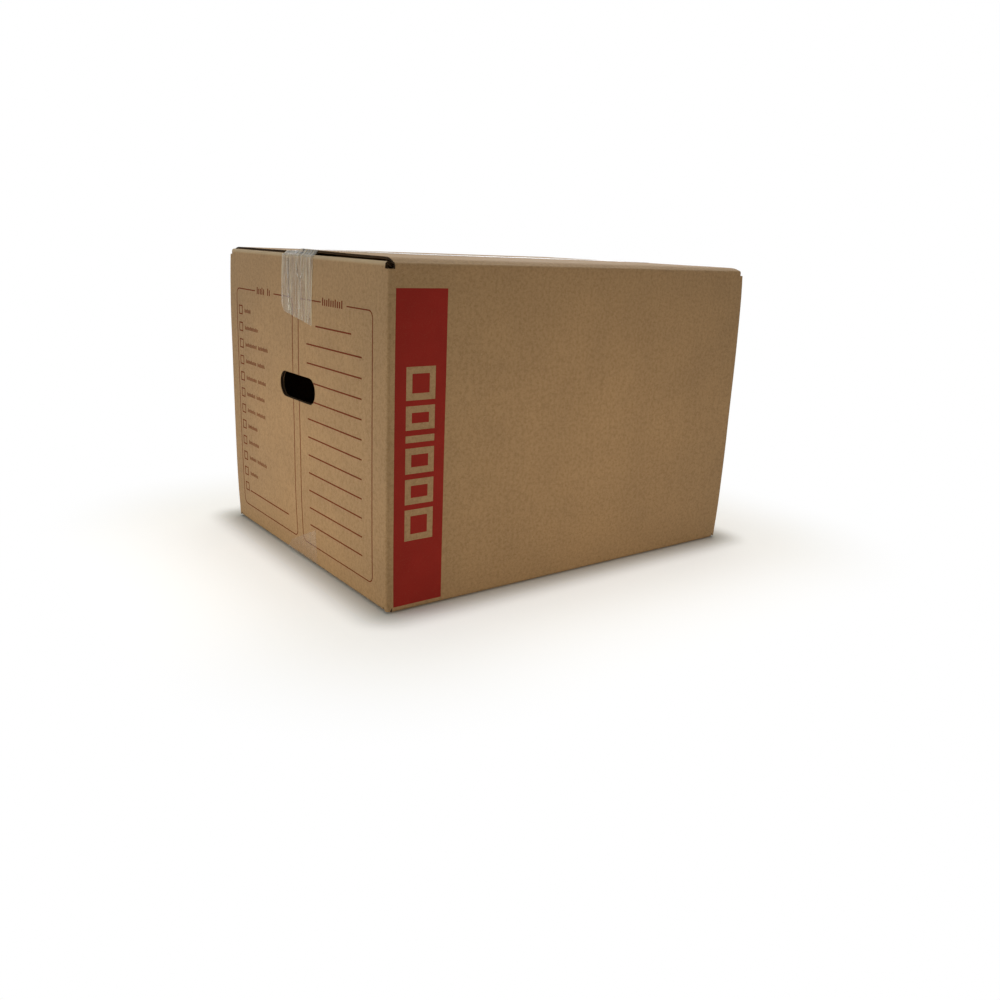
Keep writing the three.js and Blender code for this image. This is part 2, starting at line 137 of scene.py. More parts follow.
@dataclass(frozen=True)
class KraftLiner:
    """Brown kraft linerboard from a paper machine: matt, fibrous and mottled, over upright flutes."""

    name: str = "kraft_linerboard"
    paper: str = "ad8b63"
    pale_fibre: str = "bb9b73"
    dark_fibre: str = "9a7952"
    fibre_mm: float = 1.1
    mottle_mm: float = 3.2
    cloud_mm: float = 60.0
    flute_light: float = 0.012
    fibre_height: float = 0.16
    mottle_height: float = 0.5
    flute_height: float = 0.22
    relief_mm: float = 0.14
    roughness: float = 0.62
    # Pale colour on the ends' top folds: partly fibres strained pale, partly a painted highlight on the
    # folds' crowns
    strained_and_lit: str = "d0b895"
    strained_and_lit_x: float = 231.0
    strained_and_lit_x_run: float = 1.0
    strained_and_lit_z: float = 318.0
    strained_and_lit_z_run: float = 2.0
    strain_and_highlight: float = 0.75

    def build(self) -> Material:
        """Make the material.

        Returns:
            The material, on Object coordinates and the blank's map.
        """
        material, tree = new_material(self.name)
        place = add_node(tree, "TexCoord").outputs["Object"]
        uv = add_node(tree, "UVMap", uv_map="blank")
        # Fibres are finer than a pixel, so they are drawn about twice their real length
        fine = {"Scale": 1 / (self.fibre_mm * MM), "Detail": 3.0, "Roughness": 0.7, "Distortion": 1.2}
        fibre = add_node(tree, "TexNoise", fine, {"Vector": place})
        blotches = {"Scale": 1 / (self.mottle_mm * MM), "Detail": 4.0, "Roughness": 0.62}
        mottle = add_node(tree, "TexNoise", blotches, {"Vector": place})
        broad = {"Scale": 1 / (self.cloud_mm * MM), "Detail": 2.0}
        cloud = add_node(tree, "TexNoise", broad, {"Vector": place})
        across = add_node(tree, "SeparateXYZ", links={"Vector": uv}).outputs["X"]
        turns = 2 * math.pi / (FLUTE_PITCH * MM)
        phase = add_node(tree, "Math", {1: turns}, {0: across}, operation="MULTIPLY")
        flute = add_node(tree, "Math", links={0: phase}, operation="SINE")
        dark = add_node(
            tree, "MapRange", {"From Min": 0.42, "From Max": 0.66, "To Max": 0.9}, {"Value": mottle}
        )
        pale = add_node(tree, "MapRange", {"From Min": 0.5, "From Max": 0.74}, {"Value": fibre})
        papers = {MIX_A: linear(self.paper), MIX_B: linear(self.dark_fibre)}
        base = add_node(tree, "Mix", papers, {0: dark}, data_type="RGBA").outputs[MIXED]
        paler = {MIX_B: linear(self.pale_fibre)}
        base = add_node(tree, "Mix", paler, {0: pale, MIX_A: base}, data_type="RGBA").outputs[MIXED]
        base = self.add_strain_and_highlight(tree, place, base)
        shading = {"From Min": 0.3, "From Max": 0.7, "To Min": 0.95, "To Max": 1.05}
        shade = add_node(tree, "MapRange", shading, {"Value": cloud})
        ridge = add_node(tree, "Math", {1: self.flute_light}, {0: flute, 2: shade}, operation="MULTIPLY_ADD")
        base = add_node(tree, "VectorMath", links={0: base, "Scale": ridge}, operation="SCALE")
        height = add_node(tree, "Math", {1: self.fibre_height}, {0: fibre}, operation="MULTIPLY")
        for pattern, share in ((mottle, self.mottle_height), (flute, self.flute_height)):
            height = add_node(tree, "Math", {1: share}, {0: pattern, 2: height}, operation="MULTIPLY_ADD")
        bump = add_node(
            tree, "Bump", {"Strength": 0.55, "Distance": self.relief_mm * MM}, {"Height": height}
        )
        shader = add_node(
            tree,
            "BsdfPrincipled",
            {"Roughness": self.roughness, "IOR": 1.45, "Specular IOR Level": 0.35},
            {"Base Color": base, "Normal": bump},
        )
        add_node(tree, "OutputMaterial", links={"Surface": shader})
        return material

    def add_strain_and_highlight(self, tree: Tree, place: Socket, base: Socket) -> Socket:
        """Turn the paper pale on the ends' top folds and the flaps' lips: partly fibres strained pale,
        partly a painted highlight on the folds.

        Args:
            tree: The material's node tree.
            place: Object coordinates.
            base: The paper's colour.

        Returns:
            The colour with the pale folds and their painted highlight.
        """
        split = add_node(tree, "SeparateXYZ", links={"Vector": place}).outputs
        along = add_node(tree, "Math", links={0: split["X"]}, operation="ABSOLUTE")
        x, x_start = self.strained_and_lit_x * MM, (self.strained_and_lit_x - self.strained_and_lit_x_run) * MM
        z, z_start = self.strained_and_lit_z * MM, (self.strained_and_lit_z - self.strained_and_lit_z_run) * MM
        # Painted highlight, partly strained pale fibres, on the ends' top folds
        at_end = add_node(tree, "MapRange", {"From Min": x_start, "From Max": x}, {"Value": along})
        topmost = {"From Min": z_start, "From Max": z, "To Max": self.strain_and_highlight}
        at_top = add_node(tree, "MapRange", topmost, {"Value": split["Z"]})
        amount = add_node(tree, "Math", links={0: at_end, 1: at_top}, operation="MULTIPLY")
        strained_and_lit_paper = {MIX_B: linear(self.strained_and_lit)}
        return add_node(tree, "Mix", strained_and_lit_paper, {0: amount, MIX_A: base}, data_type="RGBA").outputs[MIXED]


@dataclass(frozen=True)
class CutBoard:
    """The cut edge of corrugated board: two thin liners with the wavy medium between, and painted shade in
    the open flutes.
    """

    name: str = "corrugated_board_cut_edge"
    # The liner and medium are darker than the face's paper, partly their own colour and partly painted shade
    # on the edge; the hollow colour is painted shade in the open flutes
    liner: str = "957a5a"
    medium: str = "6a5239"
    hollow: str = "2c1d11"
    liner_share: float = 0.1
    medium_share: float = 0.07
    ragged_share: float = 0.05
    ragged_mm: float = 1.5

    def build(self) -> Material:
        """Make the material.

        Returns:
            The material, on a map of metres across the flutes by the share of the board's depth.
        """
        material, tree = new_material(self.name)
        uv = add_node(tree, "UVMap", uv_map="blank")
        place = add_node(tree, "TexCoord").outputs["Object"]
        rough = {"Scale": 1 / (self.ragged_mm * MM), "Detail": 3.0}
        ragged = add_node(tree, "TexNoise", rough, {"Vector": place})
        split = add_node(tree, "SeparateXYZ", links={"Vector": uv}).outputs
        turns = 2 * math.pi / (FLUTE_PITCH * MM)
        phase = add_node(tree, "Math", {1: turns}, {0: split["X"]}, operation="MULTIPLY")
        wave = add_node(tree, "Math", links={0: phase}, operation="SINE")
        reach = 0.5 - self.liner_share
        middle = add_node(tree, "Math", {1: reach, 2: 0.5}, {0: wave}, operation="MULTIPLY_ADD")
        off_medium = add_node(tree, "Math", links={0: split["Y"], 1: middle}, operation="SUBTRACT")
        off_medium = add_node(tree, "Math", links={0: off_medium}, operation="ABSOLUTE")
        off_middle = add_node(tree, "Math", {1: 0.5}, {0: split["Y"]}, operation="SUBTRACT")
        off_middle = add_node(tree, "Math", links={0: off_middle}, operation="ABSOLUTE")
        ragged_range = {1: self.ragged_share, 2: -self.ragged_share / 2}
        wobble = add_node(tree, "Math", ragged_range, {0: ragged}, operation="MULTIPLY_ADD")
        medium_edge = add_node(tree, "Math", {1: self.medium_share}, {0: wobble}, operation="ADD")
        in_medium = add_node(tree, "Math", links={0: off_medium, 1: medium_edge}, operation="LESS_THAN")
        liner_edge = add_node(tree, "Math", {1: reach}, {0: wobble}, operation="ADD")
        in_liner = add_node(tree, "Math", links={0: off_middle, 1: liner_edge}, operation="GREATER_THAN")
        solid = add_node(tree, "Math", links={0: in_medium, 1: in_liner}, operation="MAXIMUM")
        # Painted shade fills the open flutes around the medium
        inner = {MIX_A: linear(self.hollow), MIX_B: linear(self.medium)}
        colour = add_node(tree, "Mix", inner, {0: in_medium}, data_type="RGBA").outputs[MIXED]
        outer = {MIX_B: linear(self.liner)}
        colour = add_node(tree, "Mix", outer, {0: in_liner, MIX_A: colour}, data_type="RGBA").outputs[MIXED]
        bump = add_node(tree, "Bump", {"Strength": 0.8, "Distance": 0.4 * MM}, {"Height": solid})
        shader = add_node(
            tree,
            "BsdfPrincipled",
            {"Roughness": 0.9, "IOR": 1.45, "Specular IOR Level": 0.2},
            {"Base Color": colour, "Normal": bump},
        )
        add_node(tree, "OutputMaterial", links={"Surface": shader})
        return material


@dataclass(frozen=True)
class FilmFold:
    """One pinched fold in the film, from place to place on its map in millimetres, with a milky ridge that
    is partly a painted glint and painted shade beside it.
    """

    start: Pair
    end: Pair
    width: float
    milk_and_glint: float
    shade: float = 0.3


# Places are across the tape from its near edge, and along it from the end's top score, minus is down
# The folds' milky ridges are partly painted glints, the two brightest wholly so, and each fold has painted
# shade beside it
TOP_FOLDS = (
    FilmFold((58.0, -2), (56.5, -18), 1.3, 0.05, 0.7),
    FilmFold((56.5, -18), (53.0, -40), 1.3, 0.1, 0.7),
    FilmFold((53.0, -41), (52.6, -45), 1.4, 4.0),
    FilmFold((52.6, -48), (52.2, -53), 1.6, 5.0),
    FilmFold((51.8, -46), (46.0, -62), 1.0, 0.5, 0.7),
    FilmFold((62.0, -61), (44.0, -64), 1.7, 0.9),
    FilmFold((40.0, -4), (30.0, -22), 1.1, 0.3),
    FilmFold((18.0, -8), (29.0, -24), 0.9, 0.3),
    FilmFold((30.0, -24), (27.0, -50), 0.7, 0.16),
)


@dataclass(frozen=True)
class PackingFilm:
    """Clear acrylic packing tape on polypropylene film: glossy, faintly milky and finely creased, with
    painted glints and painted shade along its creases and folds.
    """

    name: str = "clear_packing_tape"
    milk: str = "e9d8b8"
    haze: float = 0.22
    # The milkiness swings with the creases, partly the film's own haze and partly a painted sheen on its
    # wrinkles
    clearest: float = 0.25
    milkiest: float = 3.6
    crease_mm: float = 4.5
    crease_stretch: float = 0.06
    relief_mm: float = 0.3
    roughness: float = 0.16
    gloss_ior: float = 1.3
    # The edges' milkiness is partly the loose film's haze and partly a painted highlight
    edge_mm: float = 2.2
    edge_milk_and_highlight: float = 0.22
    width_mm: float = 72.0
    # Painted shade in dark streaks along the creases
    streak_shade: float = 0.88
    folds: tuple[FilmFold, ...] = ()
    fold_height: float = 2.5
    fold_wander_mm: float = 3.0
    shade_beside: float = 1.3

    def build(self) -> Material:
        """Make the material.

        Returns:
            The material, with creases that run along the tape on its own map.
        """
        material, tree = new_material(self.name)
        uv = add_node(tree, "UVMap", uv_map="tape").outputs["UV"]
        stretch = {"Scale": (1.0, self.crease_stretch, 1.0)}
        stretched = add_node(tree, "Mapping", stretch, {"Vector": uv})
        creasing = {"Scale": 1 / (self.crease_mm * MM), "Detail": 5.0, "Roughness": 0.7, "Distortion": 0.5}
        crease = add_node(tree, "TexNoise", creasing, {"Vector": stretched})
        # Milky haze along the creases, partly a painted sheen
        least, most = self.haze * self.clearest, self.haze * self.milkiest
        haze_and_sheen = {"From Min": 0.42, "From Max": 0.74, "To Min": least, "To Max": most}
        milky = self.add_edges(tree, uv, add_node(tree, "MapRange", haze_and_sheen, {"Value": crease}))
        # Painted shade: the clear film darkens along the creases' streaks and beside each fold
        streaks = {"From Min": 0.3, "From Max": 0.48, "To Min": self.streak_shade}
        shaded_clear = add_node(tree, "MapRange", streaks, {"Value": crease})
        height = crease
        # Each fold adds a milky ridge that is partly a painted glint, a raised bump, and painted shade
        # beside it
        for fold in self.folds:
            ridge = self.add_fold(tree, uv, crease, fold)
            milky = add_node(tree, "Math", {1: fold.milk_and_glint}, {0: ridge, 2: milky}, operation="MULTIPLY_ADD")
            raised = {0: ridge, 2: height}
            height = add_node(tree, "Math", {1: self.fold_height}, raised, operation="MULTIPLY_ADD")
            shade = self.add_fold(tree, uv, crease, fold, fold.width * self.shade_beside)
            shaded_clear = add_node(tree, "Math", {1: -fold.shade}, {0: shade, 2: shaded_clear}, operation="MULTIPLY_ADD")
        bump = add_node(tree, "Bump", {"Strength": 0.8, "Distance": self.relief_mm * MM}, {"Height": height})
        clear = add_node(tree, "BsdfTransparent", links={"Color": shaded_clear})
        milk = add_node(tree, "BsdfDiffuse", {"Color": linear(self.milk)}, {"Normal": bump})
        body = add_node(tree, "MixShader", links={0: milky, 1: clear, 2: milk})
        glossy = {"Color": WHITE, "Roughness": self.roughness}
        gloss = add_node(tree, "BsdfGlossy", glossy, {"Normal": bump})
        mirror = add_node(tree, "Fresnel", {"IOR": self.gloss_ior}, {"Normal": bump})
        surface = add_node(tree, "MixShader", links={0: mirror, 1: body, 2: gloss})
        add_node(tree, "OutputMaterial", links={"Surface": surface})
        return material

    def add_edges(self, tree: Tree, uv: Socket, milky: Node) -> Node:
        """Make the film milkier along its two long edges, partly where it lies loose and partly as a painted
        highlight.

        Args:
            tree: The material's node tree.
            uv: The film's map in metres.
            milky: How milky the film is.

        Returns:
            The same with its edges.
        """
        across = add_node(tree, "SeparateXYZ", links={"Vector": uv}).outputs["X"]
        half = self.width_mm / 2 * MM
        off_middle = add_node(tree, "Math", {1: half}, {0: across}, operation="SUBTRACT")
        off_middle = add_node(tree, "Math", links={0: off_middle}, operation="ABSOLUTE")
        rim = {"From Min": half - self.edge_mm * MM, "From Max": half, "To Max": self.edge_milk_and_highlight}
        edge = add_node(tree, "MapRange", rim, {"Value": off_middle})
        return add_node(tree, "Math", links={0: milky, 1: edge}, operation="ADD")

    def add_fold(self, tree: Tree, uv: Socket, crease: Node, fold: FilmFold, beside: float = 0.0) -> Node:
        """Give 1 on a straight fold and 0 off it.

        Args:
            tree: The material's node tree.
            uv: The film's map in metres.
            crease: Noise that makes the fold wander.
            fold: The fold.
            beside: How far beside the fold the mask lies, in millimetres.

        Returns:
            The fold's mask.
        """
        start = Vector((*fold.start, 0)) * MM
        way = Vector((*fold.end, 0)) * MM - start
        length = way.length
        way.normalize()
        left = Vector((-way.y, way.x, 0))
        from_start = add_node(tree, "VectorMath", {1: start}, {0: uv}, operation="SUBTRACT")
        along = add_node(tree, "VectorMath", {1: way}, {0: from_start}, operation="DOT_PRODUCT")
        off = add_node(tree, "VectorMath", {1: left}, {0: from_start}, operation="DOT_PRODUCT")
        wandering = {1: self.fold_wander_mm * MM, 2: (beside - self.fold_wander_mm / 2) * MM}
        wander = add_node(tree, "Math", wandering, {0: crease}, operation="MULTIPLY_ADD")
        off = add_node(tree, "Math", links={0: off.outputs["Value"], 1: wander}, operation="ADD")
        off = add_node(tree, "Math", links={0: off}, operation="ABSOLUTE")
        rim = {"From Min": fold.width * MM, "From Max": 0.0}
        ridge = add_node(tree, "MapRange", rim, {"Value": off}, interpolation_type="SMOOTHSTEP")
        span = {1: length / 2, 2: length / 2}
        inside = add_node(tree, "Math", span, {0: along.outputs["Value"]}, operation="COMPARE")
        return add_node(tree, "Math", links={0: ridge, 1: inside}, operation="MULTIPLY")


@dataclass(frozen=True)
class ClearAdhesive:
    """Acrylic adhesive on the film's inner face, which wets the board and can't be seen."""

    name: str = "clear_acrylic_adhesive"

    def build(self) -> Material:
        """Make the material.

        Returns:
            The material, clear all over.
        """
        material, tree = new_material(self.name)
        clear = add_node(tree, "BsdfTransparent")
        add_node(tree, "OutputMaterial", links={"Surface": clear})
        return material


@dataclass(frozen=True)
class FlexoInk:
    """Red water-based ink from a rubber plate: flat, thin, and broken by the paper's fibres."""

    name: str = "red_flexographic_ink"
    ink: str = "9a2820"
    thin_ink: str = "9c4a35"
    speck_mm: float = 1.1
    cloud_mm: float = 25.0

    def build(self) -> Material:
        """Make the material.

        Returns:
            The material, on Object coordinates.
        """
        material, tree = new_material(self.name)
        place = add_node(tree, "TexCoord").outputs["Object"]
        specks = {"Scale": 1 / (self.speck_mm * MM), "Detail": 3.0, "Roughness": 0.7}
        speck = add_node(tree, "TexNoise", specks, {"Vector": place})
        broad = {"Scale": 1 / (self.cloud_mm * MM), "Detail": 2.0}
        cloud = add_node(tree, "TexNoise", broad, {"Vector": place})
        thin = add_node(
            tree, "MapRange", {"From Min": 0.55, "From Max": 0.8, "To Max": 0.8}, {"Value": speck}
        )
        inks = {MIX_A: linear(self.ink), MIX_B: linear(self.thin_ink)}
        base = add_node(tree, "Mix", inks, {0: thin}, data_type="RGBA").outputs[MIXED]
        shading = {"From Min": 0.3, "From Max": 0.7, "To Min": 0.93, "To Max": 1.05}
        shade = add_node(tree, "MapRange", shading, {"Value": cloud})
        base = add_node(tree, "VectorMath", links={0: base, "Scale": shade}, operation="SCALE")
        bump = add_node(tree, "Bump", {"Strength": 0.4, "Distance": 0.1 * MM}, {"Height": speck})
        shader = add_node(
            tree,
            "BsdfPrincipled",
            {"Roughness": 0.8, "IOR": 1.45, "Specular IOR Level": 0.18},
            {"Base Color": base, "Normal": bump},
        )
        add_node(tree, "OutputMaterial", links={"Surface": shader})
        return material


class Side(Enum):
    """Whether a panel is one of the two long sides or one of the two ends."""

    LONG = "long"
    END = "end"


class Lid(Enum):
    """Which closure of the carton: +1 is the top, -1 the bottom."""

    TOP = 1
    BOTTOM = -1


@dataclass(frozen=True)
class Station:
    """A point on the outside of the board in millimetres, the way out of it and its thickness."""

    point: Vector
    out: Vector
    thick: float


@dataclass(frozen=True)
class Panel:
    """One upright panel of the blank, which runs along `along` from `start` and faces `out`."""

    side: Side
    out: Vector
    along: Vector
    start: Vector
    run: float
    bow: float
    lifts: Triple = (0.0, 0.0, 0.0)
    raw_end: bool = False


@dataclass
class FoldedBoard:
    """The carton's shape: where every place on the flat blank ends up when it is folded.

    Lengths are in millimetres. A share of 0 to 1 is a place along a panel, z is the height over the floor,
    and r is the way in from a long side over a wide flap.
    """

    inside_depth: float = 12 * INCH
    end_bow: float = 3.0
    side_bow: float = 1.5
    corner_bow: float = 1.8
    ripple: float = 0.45
    ripple_per_mm: float = 0.011
    fine_ripple_share: float = 0.35
    fine_ripple_per_mm: float = 0.031
    ripple_sink: float = 0.1
    corner_radius: float = 3.2
    corner_board: float = 2.2
    corner_run: float = 7.0
    corner_dent: float = 0.25
    corner_dent_per_mm: float = 0.02
    corner_lip: float = 3.7
    corner_lip_run: float = 30.0
    crease_radius: float = 3.0
    scored_board: float = 1.6
    score_run: float = 9.0
    wide_flap_score_run: float = 22.0
    score_allowance: float = 2.8
    top_side_score_drop: float = 0.2
    bottom_side_score_drop: float = 1.3
    slot_inset: float = 2.5
    end_slot_inset: float = 4.0
    slot_below_crease: float = 6.0
    slot_above_floor_crease: float = 4.0
    lay_gap: float = 0.3
    seam_gap: float = 1.2
    flap_rise: float = 12.0
    flap_edge_board: float = 1.9
    flap_edge_run: float = 12.0
    end_flap_droop: float = 2.4
    flap_spring_from: float = 26.0
    near_flap_lifts: Triple = (3.0, 1.4, 0.5)
    far_flap_lifts: Triple = (0.5, 0.5, 0.5)
    lift_at_crease: float = 0.6
    flap_wave: float = 0.35
    flap_wave_from: float = 12.0
    flap_wave_run: float = 40.0
    flap_wave_per_mm: Pair = (0.014, 0.02)
    flap_wave_apart: float = 3.0
    glue_tab: float = 35.0
    glue_tab_taper: float = 12.0
    tape_width: float = 72.0
    tape_sink: float = 0.4
    hollow_margin: float = 6.0
    hollow_ramp: float = 5.0
    panels: list[Panel] = field(init=False)

    def __post_init__(self) -> None:
        """Take the outside size from the frame and lay out the four panels."""
        low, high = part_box("carton")
        self.length = (high.x - low.x) / MM - 2 * self.end_bow
        self.width = (high.y - low.y) / MM - 2 * max(self.side_bow, self.corner_bow)
        self.end_half = self.inside_depth / 2 + BOARD + self.score_allowance
        self.flat_half = self.end_half - self.end_flap_droop + self.lay_gap + BOARD
        self.side_top = self.end_half - self.top_side_score_drop
        self.side_bottom = self.end_half + self.bottom_side_score_drop
        self.mid_z = self.flat_half
        self.slot_top = self.mid_z + self.end_half - self.slot_below_crease
        self.slot_bottom = self.mid_z - self.end_half + self.slot_above_floor_crease
        self.crease_arc = QUARTER * self.crease_radius
        self.flap_reach = self.width / 2 - self.seam_gap / 2 - self.crease_radius
        self.flap_end = self.length / 2 - self.corner_radius - self.slot_inset
        self.hollow_start = self.width / 2 - self.tape_width / 2 - self.hollow_margin
        joint = self.width / 2 - BOARD - self.lay_gap - self.corner_radius
        half_l, half_w, r = self.length / 2, self.width / 2, self.corner_radius
        x, y = Vector((1, 0, 0)), Vector((0, 1, 0))
        back_start, near_start = Vector((half_l, joint, 0)), Vector((half_l - r, -half_w, 0))
        front_start, far_start = Vector((-half_l, -half_w + r, 0)), Vector((-half_l + r, half_w, 0))
        near_run, far_run = self.length - 2 * r, self.length - r
        near_lifts, far_lifts = self.near_flap_lifts, self.far_flap_lifts
        self.back_end = Panel(Side.END, x, -y, back_start, joint + half_w - r, self.end_bow)
        self.near_side = Panel(Side.LONG, -y, -x, near_start, near_run, self.side_bow, near_lifts)
        self.front_end = Panel(Side.END, -x, y, front_start, self.width - 2 * r, self.end_bow)
        self.far_side = Panel(Side.LONG, y, x, far_start, far_run, self.side_bow, far_lifts, raw_end=True)
        self.panels = [self.back_end, self.near_side, self.front_end, self.far_side]

    def bow_at(self, panel: Panel, share: float, z: float) -> float:
        """Say how far a panel stands out from flat.

        Args:
            panel: The panel.
            share: The place along it.
            z: The height.

        Returns:
            The distance out, with slight ripples.
        """
        across = math.sin(math.pi * min(1.0, max(0.0, share)))
        spot = panel.start + panel.along * (share * panel.run) + Z * z
        wave = noise.noise(spot * self.ripple_per_mm)
        wave += self.fine_ripple_share * noise.noise(spot * self.fine_ripple_per_mm)
        ripple = (self.ripple * wave - self.ripple_sink) * min(1.0, across * 2)
        return self.fullness(z) * (self.corner_bow + (panel.bow - self.corner_bow) * across + ripple)

    def fullness(self, z: float) -> float:
        """Say how far the bulge is full at a height: nothing at the slots, all of it in the middle."""
        up = (2 * z - self.slot_top - self.slot_bottom) / (self.slot_top - self.slot_bottom)
        return max(0.0, 1 - up**4)

    def climb(self, r: float) -> float:
        """Say how far a wide flap has climbed over the end flap's board, r in from the side."""
        return 1 - (1 - min(1.0, max(0.0, (r - self.crease_radius) / self.flap_rise))) ** 2

    def top_rise(self, panel: Panel, x: float, r: float) -> float:
        """Say how high a wide top flap lies over its crease.

        Args:
            panel: The side that carries the flap.
            x: The place along the carton.
            r: The way in from the side.

        Returns:
            The height over the crease, with the flap's lift and a loose wave.
        """
        front, middle, back = panel.lifts
        lift = middle + ((front if x < 0 else back) - middle) * (2 * x / self.length) ** 2
        slow = smooth((r - self.flap_spring_from) / (self.width / 2 - self.flap_spring_from))
        rise = (self.flat_half - self.side_top + self.lift_at_crease * lift) * self.climb(r)
        rise += (1 - self.lift_at_crease) * lift * slow
        loose = smooth((r - self.flap_wave_from) / self.flap_wave_run)
        along, inward = self.flap_wave_per_mm
        spot = Vector((x * along, r * inward, panel.out.y * self.flap_wave_apart))
        return rise + self.flap_wave * loose * noise.noise(spot)

    def bottom_drop(self, r: float) -> float:
        """Say how low a wide bottom flap lies under its crease: on the floor, hollowed for the tape."""
        return (self.flat_half - self.side_bottom) * self.climb(r) - self.hollow(r)

    def hollow(self, r: float) -> float:
        """Say how deep a bottom flap is hollowed for the tape, r in from the side."""
        return self.tape_sink * smooth((r - self.hollow_start) / self.hollow_ramp)

    def thickness(self, distance: float, run: float | None = None) -> float:
        """Give the board's thickness at a distance along the sheet from a score."""
        share = smooth(abs(distance) / (run or self.score_run))
        return self.scored_board + (BOARD - self.scored_board) * share

    def corner_thickness(self, distance: float) -> float:
        """Give the board's thickness at a distance along a panel from an upright fold."""
        return self.corner_board + (BOARD - self.corner_board) * smooth(distance / self.corner_run)

    def crease(self, panel: Panel, lid: Lid) -> float:
        """Give how far a panel's score stands from the carton's middle height."""
        wide = self.side_top if lid is Lid.TOP else self.side_bottom
        return self.end_half if panel.side is Side.END else wide

    def rise(self, panel: Panel, lid: Lid) -> float:
        """Give how far a panel runs from the level of the slots to the bend of its flap."""
        slot = self.slot_top if lid is Lid.TOP else self.slot_bottom
        return self.crease(panel, lid) - self.crease_radius - abs(slot - self.mid_z)

    def lipped(self, z: float) -> float:
        """Give the height a corner's row is drawn down to, which leaves a lip beside the slots."""
        return z - self.corner_lip * max(0.0, 1 - (z - self.slot_bottom) / self.corner_lip_run)

    def on_panel(self, panel: Panel, share: float, z: float) -> Station:
        """Give the station on an upright panel.

        Args:
            panel: The panel.
            share: The place along it.
            z: The height.

        Returns:
            The station on the bowed face, thinner near the scores and folds.
        """
        stretch = self.corner_bow * self.fullness(z) * (2 * share - 1)
        point = panel.start + panel.along * (share * panel.run + stretch)
        point = point + panel.out * self.bow_at(panel, share, z)
        point.z = z
        lid = Lid.TOP if z > self.mid_z else Lid.BOTTOM
        distance = self.crease(panel, lid) - abs(z - self.mid_z)
        a = share * panel.run
        fold = a if panel.raw_end else min(a, panel.run - a)
        return Station(point, panel.out.copy(), min(self.thickness(distance), self.corner_thickness(fold)))

    def on_slot_edge(self, panel: Panel, share: float, z: float) -> Station:
        """Give the station on a panel's first or last line, which the lip beside the slots draws down."""
        return self.on_panel(panel, share, self.lipped(z))

    def on_flap(self, panel: Panel, share: float, q: float, lid: Lid) -> Station:
        """Give the station on a flap, q up the sheet from the level of the slots.

        Args:
            panel: The panel that carries the flap.
            share: The place along the panel.
            q: Distance along the sheet from the slots' level.
            lid: Top or bottom.

        Returns:
            The station on the score, the flap's bend or its flat.
        """
        crease = self.crease(panel, lid)
        rise = self.rise(panel, lid)
        point = panel.start + panel.along * (share * panel.run)
        out = panel.out.copy()
        height = crease - self.crease_radius - rise + q
        inward = 0.0
        if q > rise + self.crease_arc:
            inward = self.crease_radius + q - rise - self.crease_arc
            height = crease
            out = Z * lid.value
            if panel.side is Side.LONG:
                top = lid is Lid.TOP
                height += self.top_rise(panel, point.x, inward) if top else self.bottom_drop(inward)
            else:
                height -= self.end_flap_droop * self.climb(inward)
        elif q > rise:
            turn = (q - rise) / self.crease_radius
            inward = self.crease_radius * (1 - math.cos(turn))
            height = crease - self.crease_radius + self.crease_radius * math.sin(turn)
            out = panel.out * math.cos(turn) + Z * (lid.value * math.sin(turn))
        point = point - panel.out * inward
        point.z = self.mid_z + lid.value * height
        distance = q - rise - self.crease_arc / 2
        if panel.side is Side.END or distance < 0:
            return Station(point, out, self.thickness(distance))
        from_edge = smooth((self.flap_end - abs(point.x)) / self.flap_edge_run)
        edge = self.flap_edge_board + (BOARD - self.flap_edge_board) * from_edge
        thick = min(self.thickness(distance, self.wide_flap_score_run), edge)
        return Station(point, out, thick if lid is Lid.TOP else thick - self.hollow(inward))

    def on_corner(self, panel: Panel, share: float, z: float) -> Station:
        """Give the station on the rounded upright corner after a panel.

        Args:
            panel: The panel before the corner.
            share: The share of the quarter turn.
            z: The height, before the lip beside the slots draws it down.

        Returns:
            The station on the fold, slightly dented.
        """
        z = self.lipped(z)
        turn = share * QUARTER
        out = panel.out * math.cos(turn) + panel.along * math.sin(turn)
        centre = panel.start + panel.along * panel.run - panel.out * self.corner_radius
        bulge = self.corner_bow * self.fullness(z)
        spot = Vector((centre.x, centre.y, z)) * self.corner_dent_per_mm
        dent = self.corner_dent * noise.noise(spot)
        point = centre + out * (self.corner_radius + dent * math.sin(2 * turn))
        point += (panel.out + panel.along) * bulge
        point.z = z
        scored = self.thickness(self.end_half - abs(z - self.mid_z))
        return Station(point, out, min(self.corner_board, scored))

    def on_tab(self, x: float, turn: float, z: float) -> Station:
        """Give the station on the glue tab, which turns in from the back end.

        Args:
            x: The way in from the end of the fold.
            turn: How far round the fold it is, in radians.
            z: The height.

        Returns:
            The station on the fold or the tapered tab.
        """
        panel = self.back_end
        centre = panel.start - panel.out * self.corner_radius
        out = panel.out * math.cos(turn) - panel.along * math.sin(turn)
        bulge = self.corner_bow * self.fullness(z)
        point = centre + out * self.corner_radius + panel.out * (bulge - x) - panel.along * bulge
        taper = 1 - self.glue_tab_taper / self.end_half * (x / self.glue_tab)
        point.z = self.mid_z + (z - self.mid_z) * taper
        return Station(point, out, self.corner_thickness(x))


@dataclass(frozen=True)
class Column:
    """One upright line of the blank: its place round it, what it lies on and whose flaps it crosses."""

    u: float
    at: Callable[[float], Station]
    flap_of: Panel | None = None
    share: float = 0.0


class Element(Enum):
    """What is selected in edit mode, with the name of its list in the mesh."""

    VERT = "vertices"
    EDGE = "edges"
    FACE = "polygons"


def select_nothing() -> None:
    """Leave edit mode and deselect every object."""
    if bpy.context.object and bpy.context.object.mode != "OBJECT":
        bpy.ops.object.mode_set(mode="OBJECT")
    bpy.ops.object.select_all(action="DESELECT")


